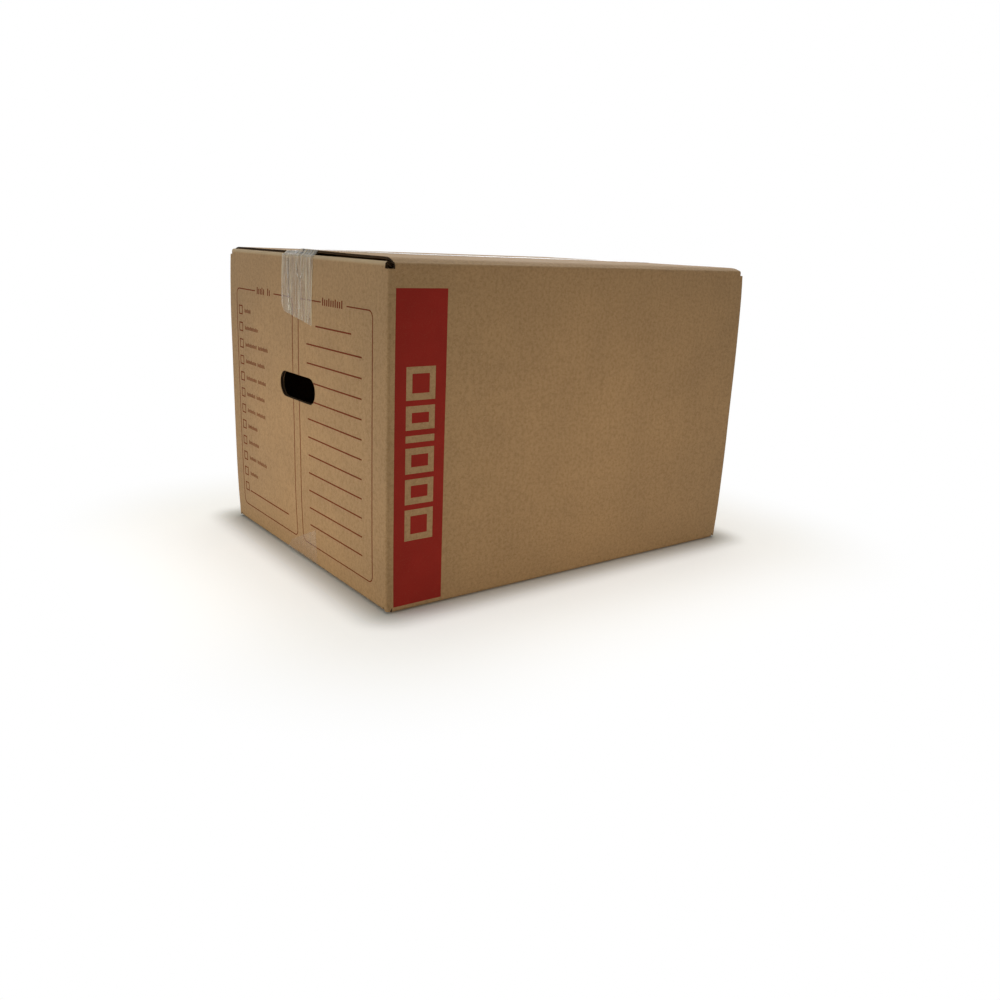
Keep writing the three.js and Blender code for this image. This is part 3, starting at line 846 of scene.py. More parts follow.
def select_only(piece: Piece) -> None:
    """Select one piece and make it active.

    Args:
        piece: The piece.
    """
    select_nothing()
    piece.select_set(True)
    bpy.context.view_layer.objects.active = piece


def edit_marked(piece: Piece, marked: Iterable[int], element: Element) -> None:
    """Enter edit mode on the active piece with only the marked elements selected.

    Args:
        piece: The piece, which is active.
        marked: The indices of its points, edges or faces.
        element: Which of the three.
    """
    bpy.ops.object.mode_set(mode="EDIT")
    bpy.ops.mesh.select_mode(type=element.name)
    bpy.ops.mesh.select_all(action="DESELECT")
    bpy.ops.object.mode_set(mode="OBJECT")
    for index in marked:
        getattr(piece.data, element.value)[index].select = True
    bpy.ops.object.mode_set(mode="EDIT")


def delete_marked(piece: Piece, marked: Iterable[int], element: Element) -> None:
    """Delete the marked points or faces of the active piece.

    Args:
        piece: The piece, which is active.
        marked: The indices of its points or faces.
        element: Which of the two.
    """
    if not marked:
        return
    edit_marked(piece, marked, element)
    bpy.ops.mesh.delete(type=element.name)
    bpy.ops.object.mode_set(mode="OBJECT")


def flat_grid(name: str, across: int, up: int) -> Piece:
    """Add a flat grid with the given number of columns and rows of points.

    Args:
        name: The object's name.
        across: Points across.
        up: Points up.

    Returns:
        The grid, whose point (i, j) has the index j * across + i.
    """
    select_nothing()
    bpy.ops.mesh.primitive_grid_add(x_subdivisions=across - 1, y_subdivisions=up - 1, size=1)
    sheet = bpy.context.object
    sheet.name = name
    sheet.data.name = name
    return sheet


def apply_modifiers(piece: Piece) -> None:
    """Apply every modifier of a piece in order.

    Args:
        piece: The piece.
    """
    select_only(piece)
    for modifier in list(piece.modifiers):
        bpy.ops.object.modifier_apply(modifier=modifier.name)


def finish_shading(piece: Piece, angle: float) -> None:
    """Shade smooth, with edges sharper than an angle in degrees kept sharp."""
    select_only(piece)
    bpy.ops.object.shade_smooth_by_angle(angle=math.radians(angle))


@dataclass(frozen=True)
class HandHole:
    """The round-ended hole in each end, in millimetres, placed over the carton's middle height."""

    width: float = 83.0
    height: float = 27.0
    above_middle: float = 26.0


@dataclass
class Carton:
    """The folded and glued carton: one sheet of board with slots, scores and two hand holes."""

    board: FoldedBoard
    hole: HandHole = HandHole()
    panel_steps: int = 40
    height_steps: int = 30
    arc_steps: int = 6
    tab_steps: int = 8
    slot_edge_run: float = 1.5
    flap_stops: tuple[float, ...] = (4, 5.5, 7.5, 10, 13, 17, 22, 28, 36, 48, 62, 76, 90, 104, 118, 130)
    cutter_excess: float = 60.0
    # Rounded by the full half height, the cutter's ends would meet in a crease
    hole_rounding: float = 0.98
    hole_segments: int = 10
    rim_material: int = 2
    sharp_angle: float = 40.0

    def columns(self) -> list[Column]:
        """List the blank's upright lines from the glue tab round to the raw edge.

        Returns:
            The lines, in order.
        """
        board = self.board
        tab, quarter = board.glue_tab, QUARTER * board.corner_radius
        listed = [Column(tab - x, partial(board.on_tab, x, QUARTER)) for x in spread(tab, 0, self.tab_steps)]
        u = tab
        for share in spread(1, 0, self.arc_steps)[1:-1]:
            listed.append(Column(u + (1 - share) * quarter, partial(board.on_tab, 0, share * QUARTER)))
        u += quarter
        for panel in board.panels:
            slot_inset = board.end_slot_inset if panel.side is Side.END else board.slot_inset
            inset = slot_inset / panel.run
            raw_inset = (board.corner_radius + board.slot_inset) / panel.run
            flap_end = 1 - (raw_inset if panel.raw_end else inset)
            edge = [inset, (slot_inset + self.slot_edge_run) / panel.run]
            tail = [flap_end - self.slot_edge_run / panel.run, flap_end]
            full = board.corner_run / panel.run
            for share in [0.0, *edge, *spread(full, flap_end + inset - full, self.panel_steps), *tail, 1.0]:
                on_flap = 0 < share < 1
                at = partial(board.on_panel if on_flap else board.on_slot_edge, panel, share)
                listed.append(Column(u + share * panel.run, at, panel if on_flap else None, share))
            u += panel.run
            if not panel.raw_end:
                for share in spread(0, 1, self.arc_steps)[1:-1]:
                    listed.append(Column(u + share * quarter, partial(board.on_corner, panel, share)))
                u += quarter
        return listed

    def flap_rows(self, panel: Panel, lid: Lid) -> list[float]:
        """List where a flap has its rows.

        Args:
            panel: The panel that carries the flap.
            lid: Top or bottom.

        Returns:
            Distances up the sheet from the slots' level.
        """
        board = self.board
        rise = board.rise(panel, lid)
        start, full = board.hollow_start, board.hollow_start + board.hollow_ramp
        reach = board.flap_reach + board.crease_radius
        stops = [*self.flap_stops, start, start + board.hollow_ramp / 2, full, (full + reach) / 2, reach]
        bend = spread(rise, rise + board.crease_arc, self.arc_steps)
        return [*bend, *[rise + board.crease_arc + r - board.crease_radius for r in stops]]

    def stations(self, column: Column) -> list[tuple[Station | None, float]]:
        """List a column's places from the lowest row of the blank to the highest.

        Args:
            column: The column.

        Returns:
            Each station, or None where the blank is slotted, with its height on the flat blank.
        """
        board, panel = self.board, column.flap_of
        heights = spread(board.slot_bottom, board.slot_top, self.height_steps)
        upright = [(column.at(z), z) for z in heights]
        if panel is None:
            slotted = [(None, 0.0)] * len(self.flap_rows(board.back_end, Lid.TOP))
            return [*slotted, *upright, *slotted]
        low = [
            (board.on_flap(panel, column.share, q, Lid.BOTTOM), board.slot_bottom - q)
            for q in reversed(self.flap_rows(panel, Lid.BOTTOM))
        ]
        high = [
            (board.on_flap(panel, column.share, q, Lid.TOP), board.slot_top + q)
            for q in self.flap_rows(panel, Lid.TOP)
        ]
        return [*low, *upright, *high]

    def build(self) -> Piece:
        """Fold the blank, give it its thickness and cut the hand holes.

        Returns:
            The carton's board.
        """
        columns = self.columns()
        grid = [self.stations(column) for column in columns]
        sheet = flat_grid("carton_board", len(columns), len(grid[0]))
        group = sheet.vertex_groups.new(name="thickness")
        slotted: set[int] = set()
        blank: dict[int, Pair] = {}
        for i, (column, stations) in enumerate(zip(columns, grid)):
            for j, (station, v) in enumerate(stations):
                index = j * len(columns) + i
                blank[index] = (column.u * MM, v * MM)
                if station is None:
                    slotted.add(index)
                    continue
                sheet.data.vertices[index].co = station.point * MM
                group.add([index], station.thick / BOARD, "REPLACE")
        uv = sheet.data.uv_layers.active
        uv.name = "blank"
        for loop in sheet.data.loops:
            uv.data[loop.index].uv = blank[loop.vertex_index]
        delete_marked(sheet, slotted, Element.VERT)
        self.dress(sheet)
        self.face_outwards(sheet)
        self.thicken(sheet)
        self.cut_hand_holes(sheet)
        finish_shading(sheet, self.sharp_angle)
        return sheet

    def face_outwards(self, sheet: Piece) -> None:
        """Turn the sheet's faces so that the printed side looks out.

        Args:
            sheet: The folded sheet.
        """
        nearest = min(sheet.data.polygons, key=lambda face: face.center.y)
        if nearest.normal.y > 0:
            sheet.data.flip_normals()

    def dress(self, sheet: Piece) -> None:
        """Give the sheet its two liners and its cut edge.

        Args:
            sheet: The folded sheet.
        """
        inside = KraftLiner("kraft_linerboard_inside", "a08059", "b0906a", "8a6c48")
        for finish in (KraftLiner(), inside, CutBoard()):
            sheet.data.materials.append(finish.build())

    def thicken(self, sheet: Piece) -> None:
        """Give the board its thickness, and map its cut edges by depth.

        Args:
            sheet: The folded sheet.
        """
        count = len(sheet.data.vertices)
        wall = sheet.modifiers.new("board", "SOLIDIFY")
        wall.thickness = BOARD * MM
        wall.offset = -1
        wall.vertex_group = "thickness"
        wall.thickness_vertex_group = 0
        wall.use_even_offset = False
        wall.material_offset = 1
        wall.material_offset_rim = self.rim_material
        apply_modifiers(sheet)
        mesh = sheet.data
        uv = mesh.uv_layers["blank"].data
        for face in mesh.polygons:
            outside = [mesh.loops[i].vertex_index < count for i in face.loop_indices]
            if all(outside) or not any(outside):
                continue
            for i, is_out in zip(face.loop_indices, outside):
                uv[i].uv = (uv[i].uv.x, 0.0 if is_out else 1.0)

    def cut_hand_holes(self, sheet: Piece) -> None:
        """Cut the two round-ended hand holes through both ends at once.

        Args:
            sheet: The thick board.
        """
        board, hole = self.board, self.hole
        select_nothing()
        bpy.ops.mesh.primitive_cube_add(
            size=1,
            location=(0, 0, (board.mid_z + hole.above_middle) * MM),
            scale=((board.length + self.cutter_excess) * MM, hole.width * MM, hole.height * MM),
        )
        cutter = bpy.context.object
        bpy.ops.object.transform_apply(location=False, rotation=False, scale=True)
        points = cutter.data.vertices
        ends = [(edge.index, *(points[i].co.x for i in edge.vertices)) for edge in cutter.data.edges]
        lengthwise = {index for index, x0, x1 in ends if x0 * x1 < 0}
        edit_marked(cutter, lengthwise, Element.EDGE)
        rounding = hole.height / 2 * MM * self.hole_rounding
        bpy.ops.mesh.bevel(offset=rounding, segments=self.hole_segments, profile=0.5)
        bpy.ops.object.mode_set(mode="OBJECT")
        for material in sheet.data.materials:
            cutter.data.materials.append(material)
        for face in cutter.data.polygons:
            face.material_index = self.rim_material
        cut = sheet.modifiers.new("hand_holes", "BOOLEAN")
        cut.operation = "DIFFERENCE"
        cut.solver = "EXACT"
        cut.object = cutter
        apply_modifiers(sheet)
        bpy.data.objects.remove(cutter)
        self.map_hole_rims(sheet)

    def map_hole_rims(self, sheet: Piece) -> None:
        """Map the hand holes' rims across the flutes by depth into the board.

        Args:
            sheet: The board with its holes.
        """
        board, hole = self.board, self.hole
        mesh = sheet.data
        uv = mesh.uv_layers["blank"].data
        middle = board.mid_z + hole.above_middle
        for face in mesh.polygons:
            centre = face.center / MM
            near_hole = abs(centre.z - middle) < hole.height and abs(centre.y) < hole.width
            if face.material_index != self.rim_material or not near_hole:
                continue
            panel = board.front_end if centre.x < 0 else board.back_end
            for i in face.loop_indices:
                spot = mesh.vertices[mesh.loops[i].vertex_index].co / MM
                share = (spot - panel.start).dot(panel.along) / panel.run
                outside = board.length / 2 + board.bow_at(panel, share, spot.z)
                depth = (outside - abs(spot.x)) / BOARD
                uv[i].uv = (share * panel.run * MM, min(1.0, max(0.0, depth)))


def film_sheet(
    name: str, grid: list[list[tuple[Vector, Vector]]], thick: float, bare: Iterable[tuple[int, int]] = ()
) -> Piece:
    """Make a thin closed film on rows and columns of points.

    Args:
        name: The object's name.
        grid: Points in millimetres with the way out at each, column by column.
        thick: The film's thickness in millimetres.
        bare: Cells (i, j) that are left open.

    Returns:
        The film, whose outer face lies on the points, with its thickness still to apply.
    """
    across, up = len(grid), len(grid[0])
    film = flat_grid(name, across, up)
    for i, column in enumerate(grid):
        for j, (point, _) in enumerate(column):
            film.data.vertices[j * across + i].co = point * MM
    outwards = 0
    gone = []
    for face in film.data.polygons:
        first, corner = face.vertices[0], min(face.vertices)
        outwards += 1 if face.normal.dot(grid[first % across][first // across][1]) > 0 else -1
        if (corner % across, corner // across) in bare:
            gone.append(face.index)
    if outwards < 0:
        film.data.flip_normals()
    delete_marked(film, gone, Element.FACE)
    wall = film.modifiers.new("film", "SOLIDIFY")
    wall.thickness = thick * MM
    wall.offset = -1
    return film


@dataclass
class TapeRun:
    """Packing tape along a seam, turned over both ends, with lengthwise creases."""

    board: FoldedBoard
    name: str
    lid: Lid
    front_turn: Pair
    back_turn: float
    finish: PackingFilm
    gap: float = 0.18
    film: float = 0.1
    seam_drape: float = 14.0
    columns: int = 60
    end_steps: int = 40
    flat_steps: int = 90
    fold_shares: Pair = (0.25, 0.5)
    bridge_steps: int = 4
    sharp_angle: float = 50.0
    edge_gap_share: float = 1.4
    bridge_sag: float = 0.5
    clipped_corner: float = 8.0
    clip_slope: float = 0.9
    tear: float = 0.5
    tear_per_mm: float = 0.35
    tear_seed: float = 5.0
    crease_height: float = 0.5
    flat_crease_share: float = 0.18
    bottom_crease_share: float = 0.25
    crease_per_mm: Pair = (0.21, 0.018)
    crease_sharpness: float = 3.2
    crease_seed: float = 7.3
    fine_crease_per_mm: Pair = (0.5, 0.03)
    fine_crease_sharpness: float = 3.0
    fine_crease_share: float = 0.3
    fine_crease_seed: float = 3.1

    def flat_height(self, x: float, y: float) -> float:
        """Give the height of the board's outside under the tape.

        Args:
            x: The place along the carton.
            y: The place across it.

        Returns:
            The height over the floor, draped from the higher flap at the seam.
        """
        board = self.board
        half = board.width / 2
        if self.lid is Lid.BOTTOM:
            return board.mid_z - board.side_bottom - board.bottom_drop(half - abs(y))
        base = board.mid_z + board.side_top
        edge = (board.width - board.seam_gap) / 2
        near = board.top_rise(board.near_side, x, min(half - abs(y), edge))
        if y <= -board.seam_gap / 2:
            return base + near
        far = board.top_rise(board.far_side, x, min(half - abs(y), edge))
        at_seam = board.top_rise(board.near_side, x, edge)
        drape = smooth((y - board.seam_gap / 2) / self.seam_drape)
        return base + max(far, at_seam + (far - at_seam) * drape)

    def crease_at(self, y: float, s: float, loose: float) -> float:
        """Give the height of the film's creases.

        Args:
            y: The place across the tape.
            s: The place along it.
            loose: How far the film stands off the board there, from 0 to 1.

        Returns:
            The height over the smooth film.
        """
        across, along = self.crease_per_mm
        fine_across, fine_along = self.fine_crease_per_mm
        spot = Vector((y * across, s * along, self.lid.value * self.crease_seed))
        fine_spot = Vector((y * fine_across + s * fine_along, s * fine_along, self.fine_crease_seed))
        ridge = max(0.0, 1 - abs(noise.noise(spot)) * self.crease_sharpness)
        fine = max(0.0, 1 - abs(noise.noise(fine_spot)) * self.fine_crease_sharpness)
        share = self.fine_crease_share
        return self.crease_height * loose * ((1 - share) * ridge**2 + share * fine**2)

    def end_rows(self, front: bool, y: float, turn: float) -> list[tuple[Vector, Vector]]:
        """Give the film's line on one end, from the torn edge up to the flap's edge.

        Args:
            front: True on the front end, False on the back end.
            y: The place across the tape.
            turn: How far down the end the tape reaches.

        Returns:
            Points with the way out at each.
        """
        board = self.board
        panel = board.front_end if front else board.back_end
        sign, up = (-1 if front else 1), self.lid.value
        out = Vector((sign, 0, 0))
        rows = []
        for drop in spread(turn, board.crease_radius, self.end_steps):
            z = board.mid_z + up * (board.end_half - drop)
            share = ((Vector((0, y, 0)) - panel.start).dot(panel.along)) / panel.run
            face = board.length / 2 + board.bow_at(panel, share, z) + self.gap
            rows.append((Vector((sign * face, y, z)), out))
        slant = Vector((sign, 0, up)).normalized()
        centre = Vector((sign * (board.length / 2 - board.crease_radius), y, 0))
        centre.z = board.mid_z + up * (board.end_half - board.crease_radius)
        for share in self.fold_shares:
            way = Vector((sign * math.cos(share * QUARTER), 0, up * math.sin(share * QUARTER)))
            rows.append((centre + way * (board.crease_radius + self.gap), way))
        edge_x = sign * board.flap_end
        edge = Vector((edge_x, y, self.flat_height(edge_x, y)))
        start = rows[-1][0]
        goal = edge + slant * self.gap * self.edge_gap_share
        for share in spread(0, 1, self.bridge_steps)[1:]:
            sag = -self.bridge_sag * math.sin(math.pi * share)
            rows.append((start.lerp(goal, share) + slant * sag, slant))
        return rows

    def turn_at(self, y: float) -> float:
        """Give how far down the front end the tape reaches.

        Args:
            y: The place across the tape.

        Returns:
            The way from the score to the torn edge, slanted, clipped at its far corner and ragged.
        """
        near, far = self.front_turn
        half = self.board.tape_width / 2
        turn = near + (far - near) * (y + half) / (2 * half)
        clip = max(0.0, y - (half - self.clipped_corner))
        ragged = self.tear * noise.noise(Vector((y * self.tear_per_mm, 0, self.tear_seed)))
        return turn - clip * self.clip_slope + ragged

    def build(self) -> Piece:
        """Lay the film along the seam and down both ends.

        Returns:
            The tape.
        """
        board = self.board
        half = board.tape_width / 2
        up = Z * self.lid.value
        flat_x = spread(-board.flap_end, board.flap_end, self.flat_steps)[1:-1]
        looseness = 1.0 if self.lid is Lid.TOP else self.bottom_crease_share
        grid: list[list[tuple[Vector, Vector]]] = []
        maps: list[list[float]] = []
        for y in spread(-half, half, self.columns):
            rows = self.end_rows(True, y, self.turn_at(y))
            rows += [(Vector((x, y, self.flat_height(x, y))) + up * self.gap, up) for x in flat_x]
            rows += reversed(self.end_rows(False, y, self.back_turn))
            steps = [0.0]
            for (before, _), (point, _) in zip(rows, rows[1:]):
                steps.append(steps[-1] + (point - before).length)
            creased = []
            for (point, out), along in zip(rows, steps):
                on_end = abs(out.x) > 0.5
                loose = looseness * (1.0 if on_end else self.flat_crease_share)
                creased.append((point + out * self.crease_at(y, along, loose), out))
            grid.append(creased)
            maps.append([step - steps[self.end_steps] for step in steps])
        film = film_sheet(self.name, grid, self.film)
        self.map_length(film, maps)
        for finish in (self.finish, ClearAdhesive()):
            film.data.materials.append(finish.build())
        film.modifiers["film"].material_offset = 1
        apply_modifiers(film)
        finish_shading(film, self.sharp_angle)
        return film

    def map_length(self, film: Piece, maps: list[list[float]]) -> None:
        """Map the film by its distance across and along, in metres.

        Args:
            film: The film before it has its thickness.
            maps: Distances along from the top of the front end, column by column.
        """
        across = len(maps)
        uv = film.data.uv_layers.active
        uv.name = "tape"
        for loop in film.data.loops:
            i, j = loop.vertex_index % across, loop.vertex_index // across
            uv.data[loop.index].uv = (i / (across - 1) * self.board.tape_width * MM, maps[i][j] * MM)


@dataclass(frozen=True)
class Ticks:
    """Plain upright strokes in place of letters, in millimetres."""

    height: float
    stroke: float
    pitch: float
    tall_share: float = 1.25
    tall_each: int = 3
    space_share: float = 1.5


@dataclass
class PanelPrint:
    """Flat shapes of ink on a panel, in millimetres along it from the upright corner and up."""

    board: FoldedBoard
    panel: Panel
    name: str
    lift: float = 0.1
    film: float = 0.05
    cell: float = 9.0
    sharp_angle: float = 30.0
    parts: list[Piece] = field(default_factory=list)

    def station(self, a: float, z: float) -> tuple[Vector, Vector]:
        """Give the point over the panel's bowed face, and the way out."""
        station = self.board.on_panel(self.panel, a / self.panel.run, z)
        return station.point + self.panel.out * self.lift, self.panel.out

    def patch(self, alongs: list[float], heights: list[float], bare: Iterable[tuple[int, int]] = ()) -> None:
        """Add a patch of ink on the given rows and columns, with some cells left bare."""
        grid = [[self.station(a, z) for z in heights] for a in alongs]
        self.parts.append(film_sheet(self.name, grid, self.film, bare))

    def bar(self, a0: float, z0: float, a1: float, z1: float) -> None:
        """Add a filled rectangle from corner to corner.

        Args:
            a0: One corner's place along the panel.
            z0: Its height.
            a1: The other corner's place.
            z1: Its height.
        """
        across = max(1, round(abs(a1 - a0) / self.cell))
        up = max(1, round(abs(z1 - z0) / self.cell))
        self.patch(spread(a0, a1, across), spread(z0, z1, up))

    def line(self, route: list[Pair], width: float) -> None:
        """Add a stroke of even width.

        Args:
            route: Places along the panel and heights on the stroke's middle line.
            width: The stroke's width.
        """
        sides: tuple[list, list] = ([], [])
        for i, (a, z) in enumerate(route):
            a0, z0 = route[max(0, i - 1)]
            a1, z1 = route[min(len(route) - 1, i + 1)]
            size = math.hypot(a1 - a0, z1 - z0)
            da, dz = -(z1 - z0) / size * width / 2, (a1 - a0) / size * width / 2
            sides[0].append(self.station(a + da, z + dz))
            sides[1].append(self.station(a - da, z - dz))
        self.parts.append(film_sheet(self.name, list(sides), self.film))

    def words(self, a: float, z: float, lengths: tuple[float, ...], ticks: Ticks) -> None:
        """Add rows of ticks in place of words, from right to left of the blank.

        Args:
            a: Where the first word starts, along the panel.
            z: The middle of the row.
            lengths: The words' lengths.
            ticks: The ticks' sizes.
        """
        low = z - ticks.height / 2
        for length in lengths:
            count = max(1, round(length / ticks.pitch))
            for i in range(count):
                start = a - i * length / count
                tall = ticks.height * (1.0 if i % ticks.tall_each else ticks.tall_share)
                self.patch([start - ticks.stroke, start], [low, low + tall])
            a -= length + ticks.space_share * ticks.pitch

    def build(self, ink: Material) -> Piece:
        """Join the shapes to one film and print it.

        Args:
            ink: The ink.

        Returns:
            The print.
        """
        for part in self.parts:
            apply_modifiers(part)
        for part in self.parts:
            part.select_set(True)
        bpy.ops.object.join()
        piece = bpy.context.object
        piece.name = self.name
        piece.data.name = self.name
        piece.data.materials.clear()
        piece.data.materials.append(ink)
        finish_shading(piece, self.sharp_angle)
        return piece


@dataclass
class SizeBand:
    """The red band beside the near upright corner, with bare frames in place of the size word."""

    board: FoldedBoard
    from_corner: float = 7.0
    width: float = 53.0
    below_crease: float = 21.5
    above_floor_crease: float = 5.2
    block_from_edge: float = 11.5
    block_height: float = 30.5
    block_start: float = 64.0
    block_gap: float = 5.0
    block_lengths: tuple[float, ...] = (30, 24, 24, 6.5, 22, 30)
    block_columns: int = 4
    plain_rows: int = 7
    stroke: float = 6.3
    framed_from_strokes: float = 3.0

    def build(self, ink: Material) -> Piece:
        """Print the band with its bare frames.

        Args:
            ink: The ink.

        Returns:
            The band.
        """
        board = self.board
        print_on = PanelPrint(board, board.near_side, "size_band")
        left = board.near_side.run + board.corner_radius - self.from_corner
        block_left = left - self.block_from_edge
        block_right = block_left - self.block_height
        low = board.mid_z - board.side_bottom + self.above_floor_crease
        high = board.mid_z + board.side_top - self.below_crease
        alongs = [left - self.width, *spread(block_right, block_left, self.block_columns), left]
        heights = spread(low, low + self.block_start, self.plain_rows)[:-1]
        bare_rows: set[int] = set()
        starts: list[float] = []
        z = low + self.block_start
        for block in self.block_lengths:
            steps = max(1, round(block / print_on.cell))
            bare_rows |= {len(heights) + k for k in range(steps)}
            heights += spread(z, z + block, steps)
            starts.append(z)
            z += block + self.block_gap
        heights += spread(z, high, self.plain_rows)
        bare = {(i + 1, j) for j in bare_rows for i in range(self.block_columns)}
        print_on.patch(alongs, heights, bare)
        inset = self.stroke
        for start, block in zip(starts, self.block_lengths):
            if block > self.framed_from_strokes * self.stroke:
                print_on.bar(block_right + inset, start + inset, block_left - inset, start + block - inset)
        return print_on.build(ink)


@dataclass(frozen=True)
class Heading:
    """A form's heading: where its frame's top line is open, and its words, from the frame's near edge."""

    opening: Pair
    word_start: float
    words: tuple[float, ...]


@dataclass
class EndForms:
    """The two printed forms on the front end: one to write the contents on, one to tick a room."""

    board: FoldedBoard
    hole: HandHole = HandHole()
    frame_width: float = 150.0
    frame_gap: float = 14.0
    frame_line: float = 1.2
    below_crease: float = 42.8
    above_crease: float = 20.8
    shift: float = 2.0
    corner_radius: float = 7.0
    corner_steps: int = 8
    contents_heading: Heading = Heading((48.0, 100.0), 97.0, (43.0,))
    room_heading: Heading = Heading((47.0, 97.0), 92.0, (22.0, 9.0))
    heading_ticks: Ticks = Ticks(6.0, 2.1, 4.3)
    row_pitch: float = 18.95
    writing_line: float = 1.5
    writing_length: float = 112.0
    short_writing_length: float = 72.0
    first_line: float = 92.4
    line_count: int = 12
    box_size: float = 10.4
    box_line: float = 1.3
    box_from_edge: float = 5.6
    first_box: float = 92.9
    word_from_box: float = 6.5
    word_drop: float = 0.8
    word_ticks: Ticks = Ticks(3.4, 1.3, 2.5)
    last_line_start: float = 21.0
    last_line_from_box: float = 3.0
    last_line_rise: float = 0.6
    words: tuple[tuple[float, ...], ...] = (
        (18,), (38,), (33, 27), (30, 20), (30, 22), (24, 23), (23, 25), (27,), (30,), (20, 28), (23,)
    )

    def __post_init__(self) -> None:
        """Work out where the two frames and the hand hole stand."""
        board = self.board
        self.panel = board.front_end
        self.low = board.mid_z - board.end_half + self.above_crease
        self.high = board.mid_z + board.end_half - self.below_crease
        self.contents_at = (self.panel.run - 2 * self.frame_width - self.frame_gap) / 2 + self.shift
        self.room_at = self.contents_at + self.frame_width + self.frame_gap
        self.hole_z = board.mid_z + self.hole.above_middle

    def hole_edge(self, z: float) -> float | None:
        """Say where the hand hole cuts a line across the end.

        Args:
            z: The line's height.

        Returns:
            Half the hole's width there, or None where it isn't cut.
        """
        r = self.hole.height / 2
        off = abs(z - self.hole_z)
        if off >= r:
            return None
        return self.hole.width / 2 - r + math.sqrt(r * r - off * off)

    def corner(self, a: float, z: float, turn: float) -> list[Pair]:
        """Give a frame's round corner, a quarter turn clockwise.

        Args:
            a: Its centre's place along the panel.
            z: Its centre's height.
            turn: Where it starts, in radians.

        Returns:
            The corner's points.
        """
        r = self.corner_radius
        turns = spread(turn, turn - QUARTER, self.corner_steps)
        return [(a + r * math.cos(t), z + r * math.sin(t)) for t in turns]

    def frame(self, print_on: PanelPrint, start: float, heading: Heading, hole_side: bool) -> None:
        """Draw a round-cornered frame, open at its heading and at the hand hole.

        Args:
            print_on: The print to draw on.
            start: The frame's near edge along the panel.
            heading: Its heading.
            hole_side: True if the hand hole cuts its far edge, False if its near edge.
        """
        end, r = start + self.frame_width, self.corner_radius
        low, high = self.low, self.high
        hole_low, hole_high = self.hole_z - self.hole.height / 2, self.hole_z + self.hole.height / 2
        open_near, open_far = (start + place for place in heading.opening)

        def leg(a0: float, z0: float, a1: float, z1: float) -> list[Pair]:
            """Give the points inside a straight leg."""
            steps = max(1, round(math.hypot(a1 - a0, z1 - z0) / print_on.cell))
            return [(a0 + (a1 - a0) * s, z0 + (z1 - z0) * s) for s in spread(0, 1, steps)[1:-1]]

        top_right = [(open_far, high), *leg(open_far, high, end - r, high)]
        top_right += self.corner(end - r, high - r, QUARTER)
        bottom = [*self.corner(end - r, low + r, 0), *leg(end - r, low, start + r, low)]
        bottom += self.corner(start + r, low + r, -QUARTER)
        top_left = [*self.corner(start + r, high - r, math.pi), *leg(start + r, high, open_near, high)]
        top_left.append((open_near, high))
        if hole_side:
            above = [*leg(end, high - r, end, hole_high), (end, hole_high)]
            below = [(end, hole_low), *leg(end, hole_low, end, low + r)]
            strokes = (top_right + above, below + bottom + leg(start, low + r, start, high - r) + top_left)
        else:
            below = [*leg(start, low + r, start, hole_low), (start, hole_low)]
            above = [(start, hole_high), *leg(start, hole_high, start, high - r)]
            strokes = (top_right + leg(end, high - r, end, low + r) + bottom + below, above + top_left)
        for stroke in strokes:
            print_on.line(stroke, self.frame_line)

    def build_contents(self, ink: Material) -> Piece:
        """Print the form with the writing lines.

        Args:
            ink: The ink.

        Returns:
            The form.
        """
        print_on = PanelPrint(self.board, self.panel, "contents_form")
        heading = self.contents_heading
        self.frame(print_on, self.contents_at, heading, True)
        middle = self.contents_at + self.frame_width / 2
        for i in range(self.line_count):
            z = self.board.mid_z + self.first_line - i * self.row_pitch
            length = self.writing_length if i else self.short_writing_length
            start, end = middle - length / 2, middle + length / 2
            edge = self.hole_edge(z)
            if edge is not None:
                end = min(end, self.panel.run / 2 - edge)
            print_on.bar(start, z - self.writing_line / 2, end, z + self.writing_line / 2)
        print_on.words(self.contents_at + heading.word_start, self.high, heading.words, self.heading_ticks)
        return print_on.build(ink)

    def build_room(self, ink: Material) -> Piece:
        """Print the form with the tick boxes.

        Args:
            ink: The ink.

        Returns:
            The form.
        """
        print_on = PanelPrint(self.board, self.panel, "room_form")
        heading = self.room_heading
        self.frame(print_on, self.room_at, heading, False)
        far = self.room_at + self.frame_width - self.box_from_edge
        near = far - self.box_size
        inset, half = self.box_line, self.box_size / 2
        for i in range(self.line_count):
            z = self.board.mid_z + self.first_box - i * self.row_pitch
            low, high = z - half, z + half
            alongs, heights = [near, near + inset, far - inset, far], [low, low + inset, high - inset, high]
            print_on.patch(alongs, heights, {(1, 1)})
            if i < len(self.words):
                print_on.words(near - self.word_from_box, z - self.word_drop, self.words[i], self.word_ticks)
        last = z - half + self.last_line_rise
        start, end = self.room_at + self.last_line_start, near - self.last_line_from_box
        print_on.bar(start, last, end, last + self.writing_line)
        print_on.words(self.room_at + heading.word_start, self.high, heading.words, self.heading_ticks)
        return print_on.build(ink)


@dataclass(frozen=True)
class Lamp:
    """A square soft lamp, in metres and watts, with its light in linear values."""

    name: str
    place: Triple
    size: float
    watts: float
    colour: Triple
    aim: Triple = (0.0, 0.0, 0.16)


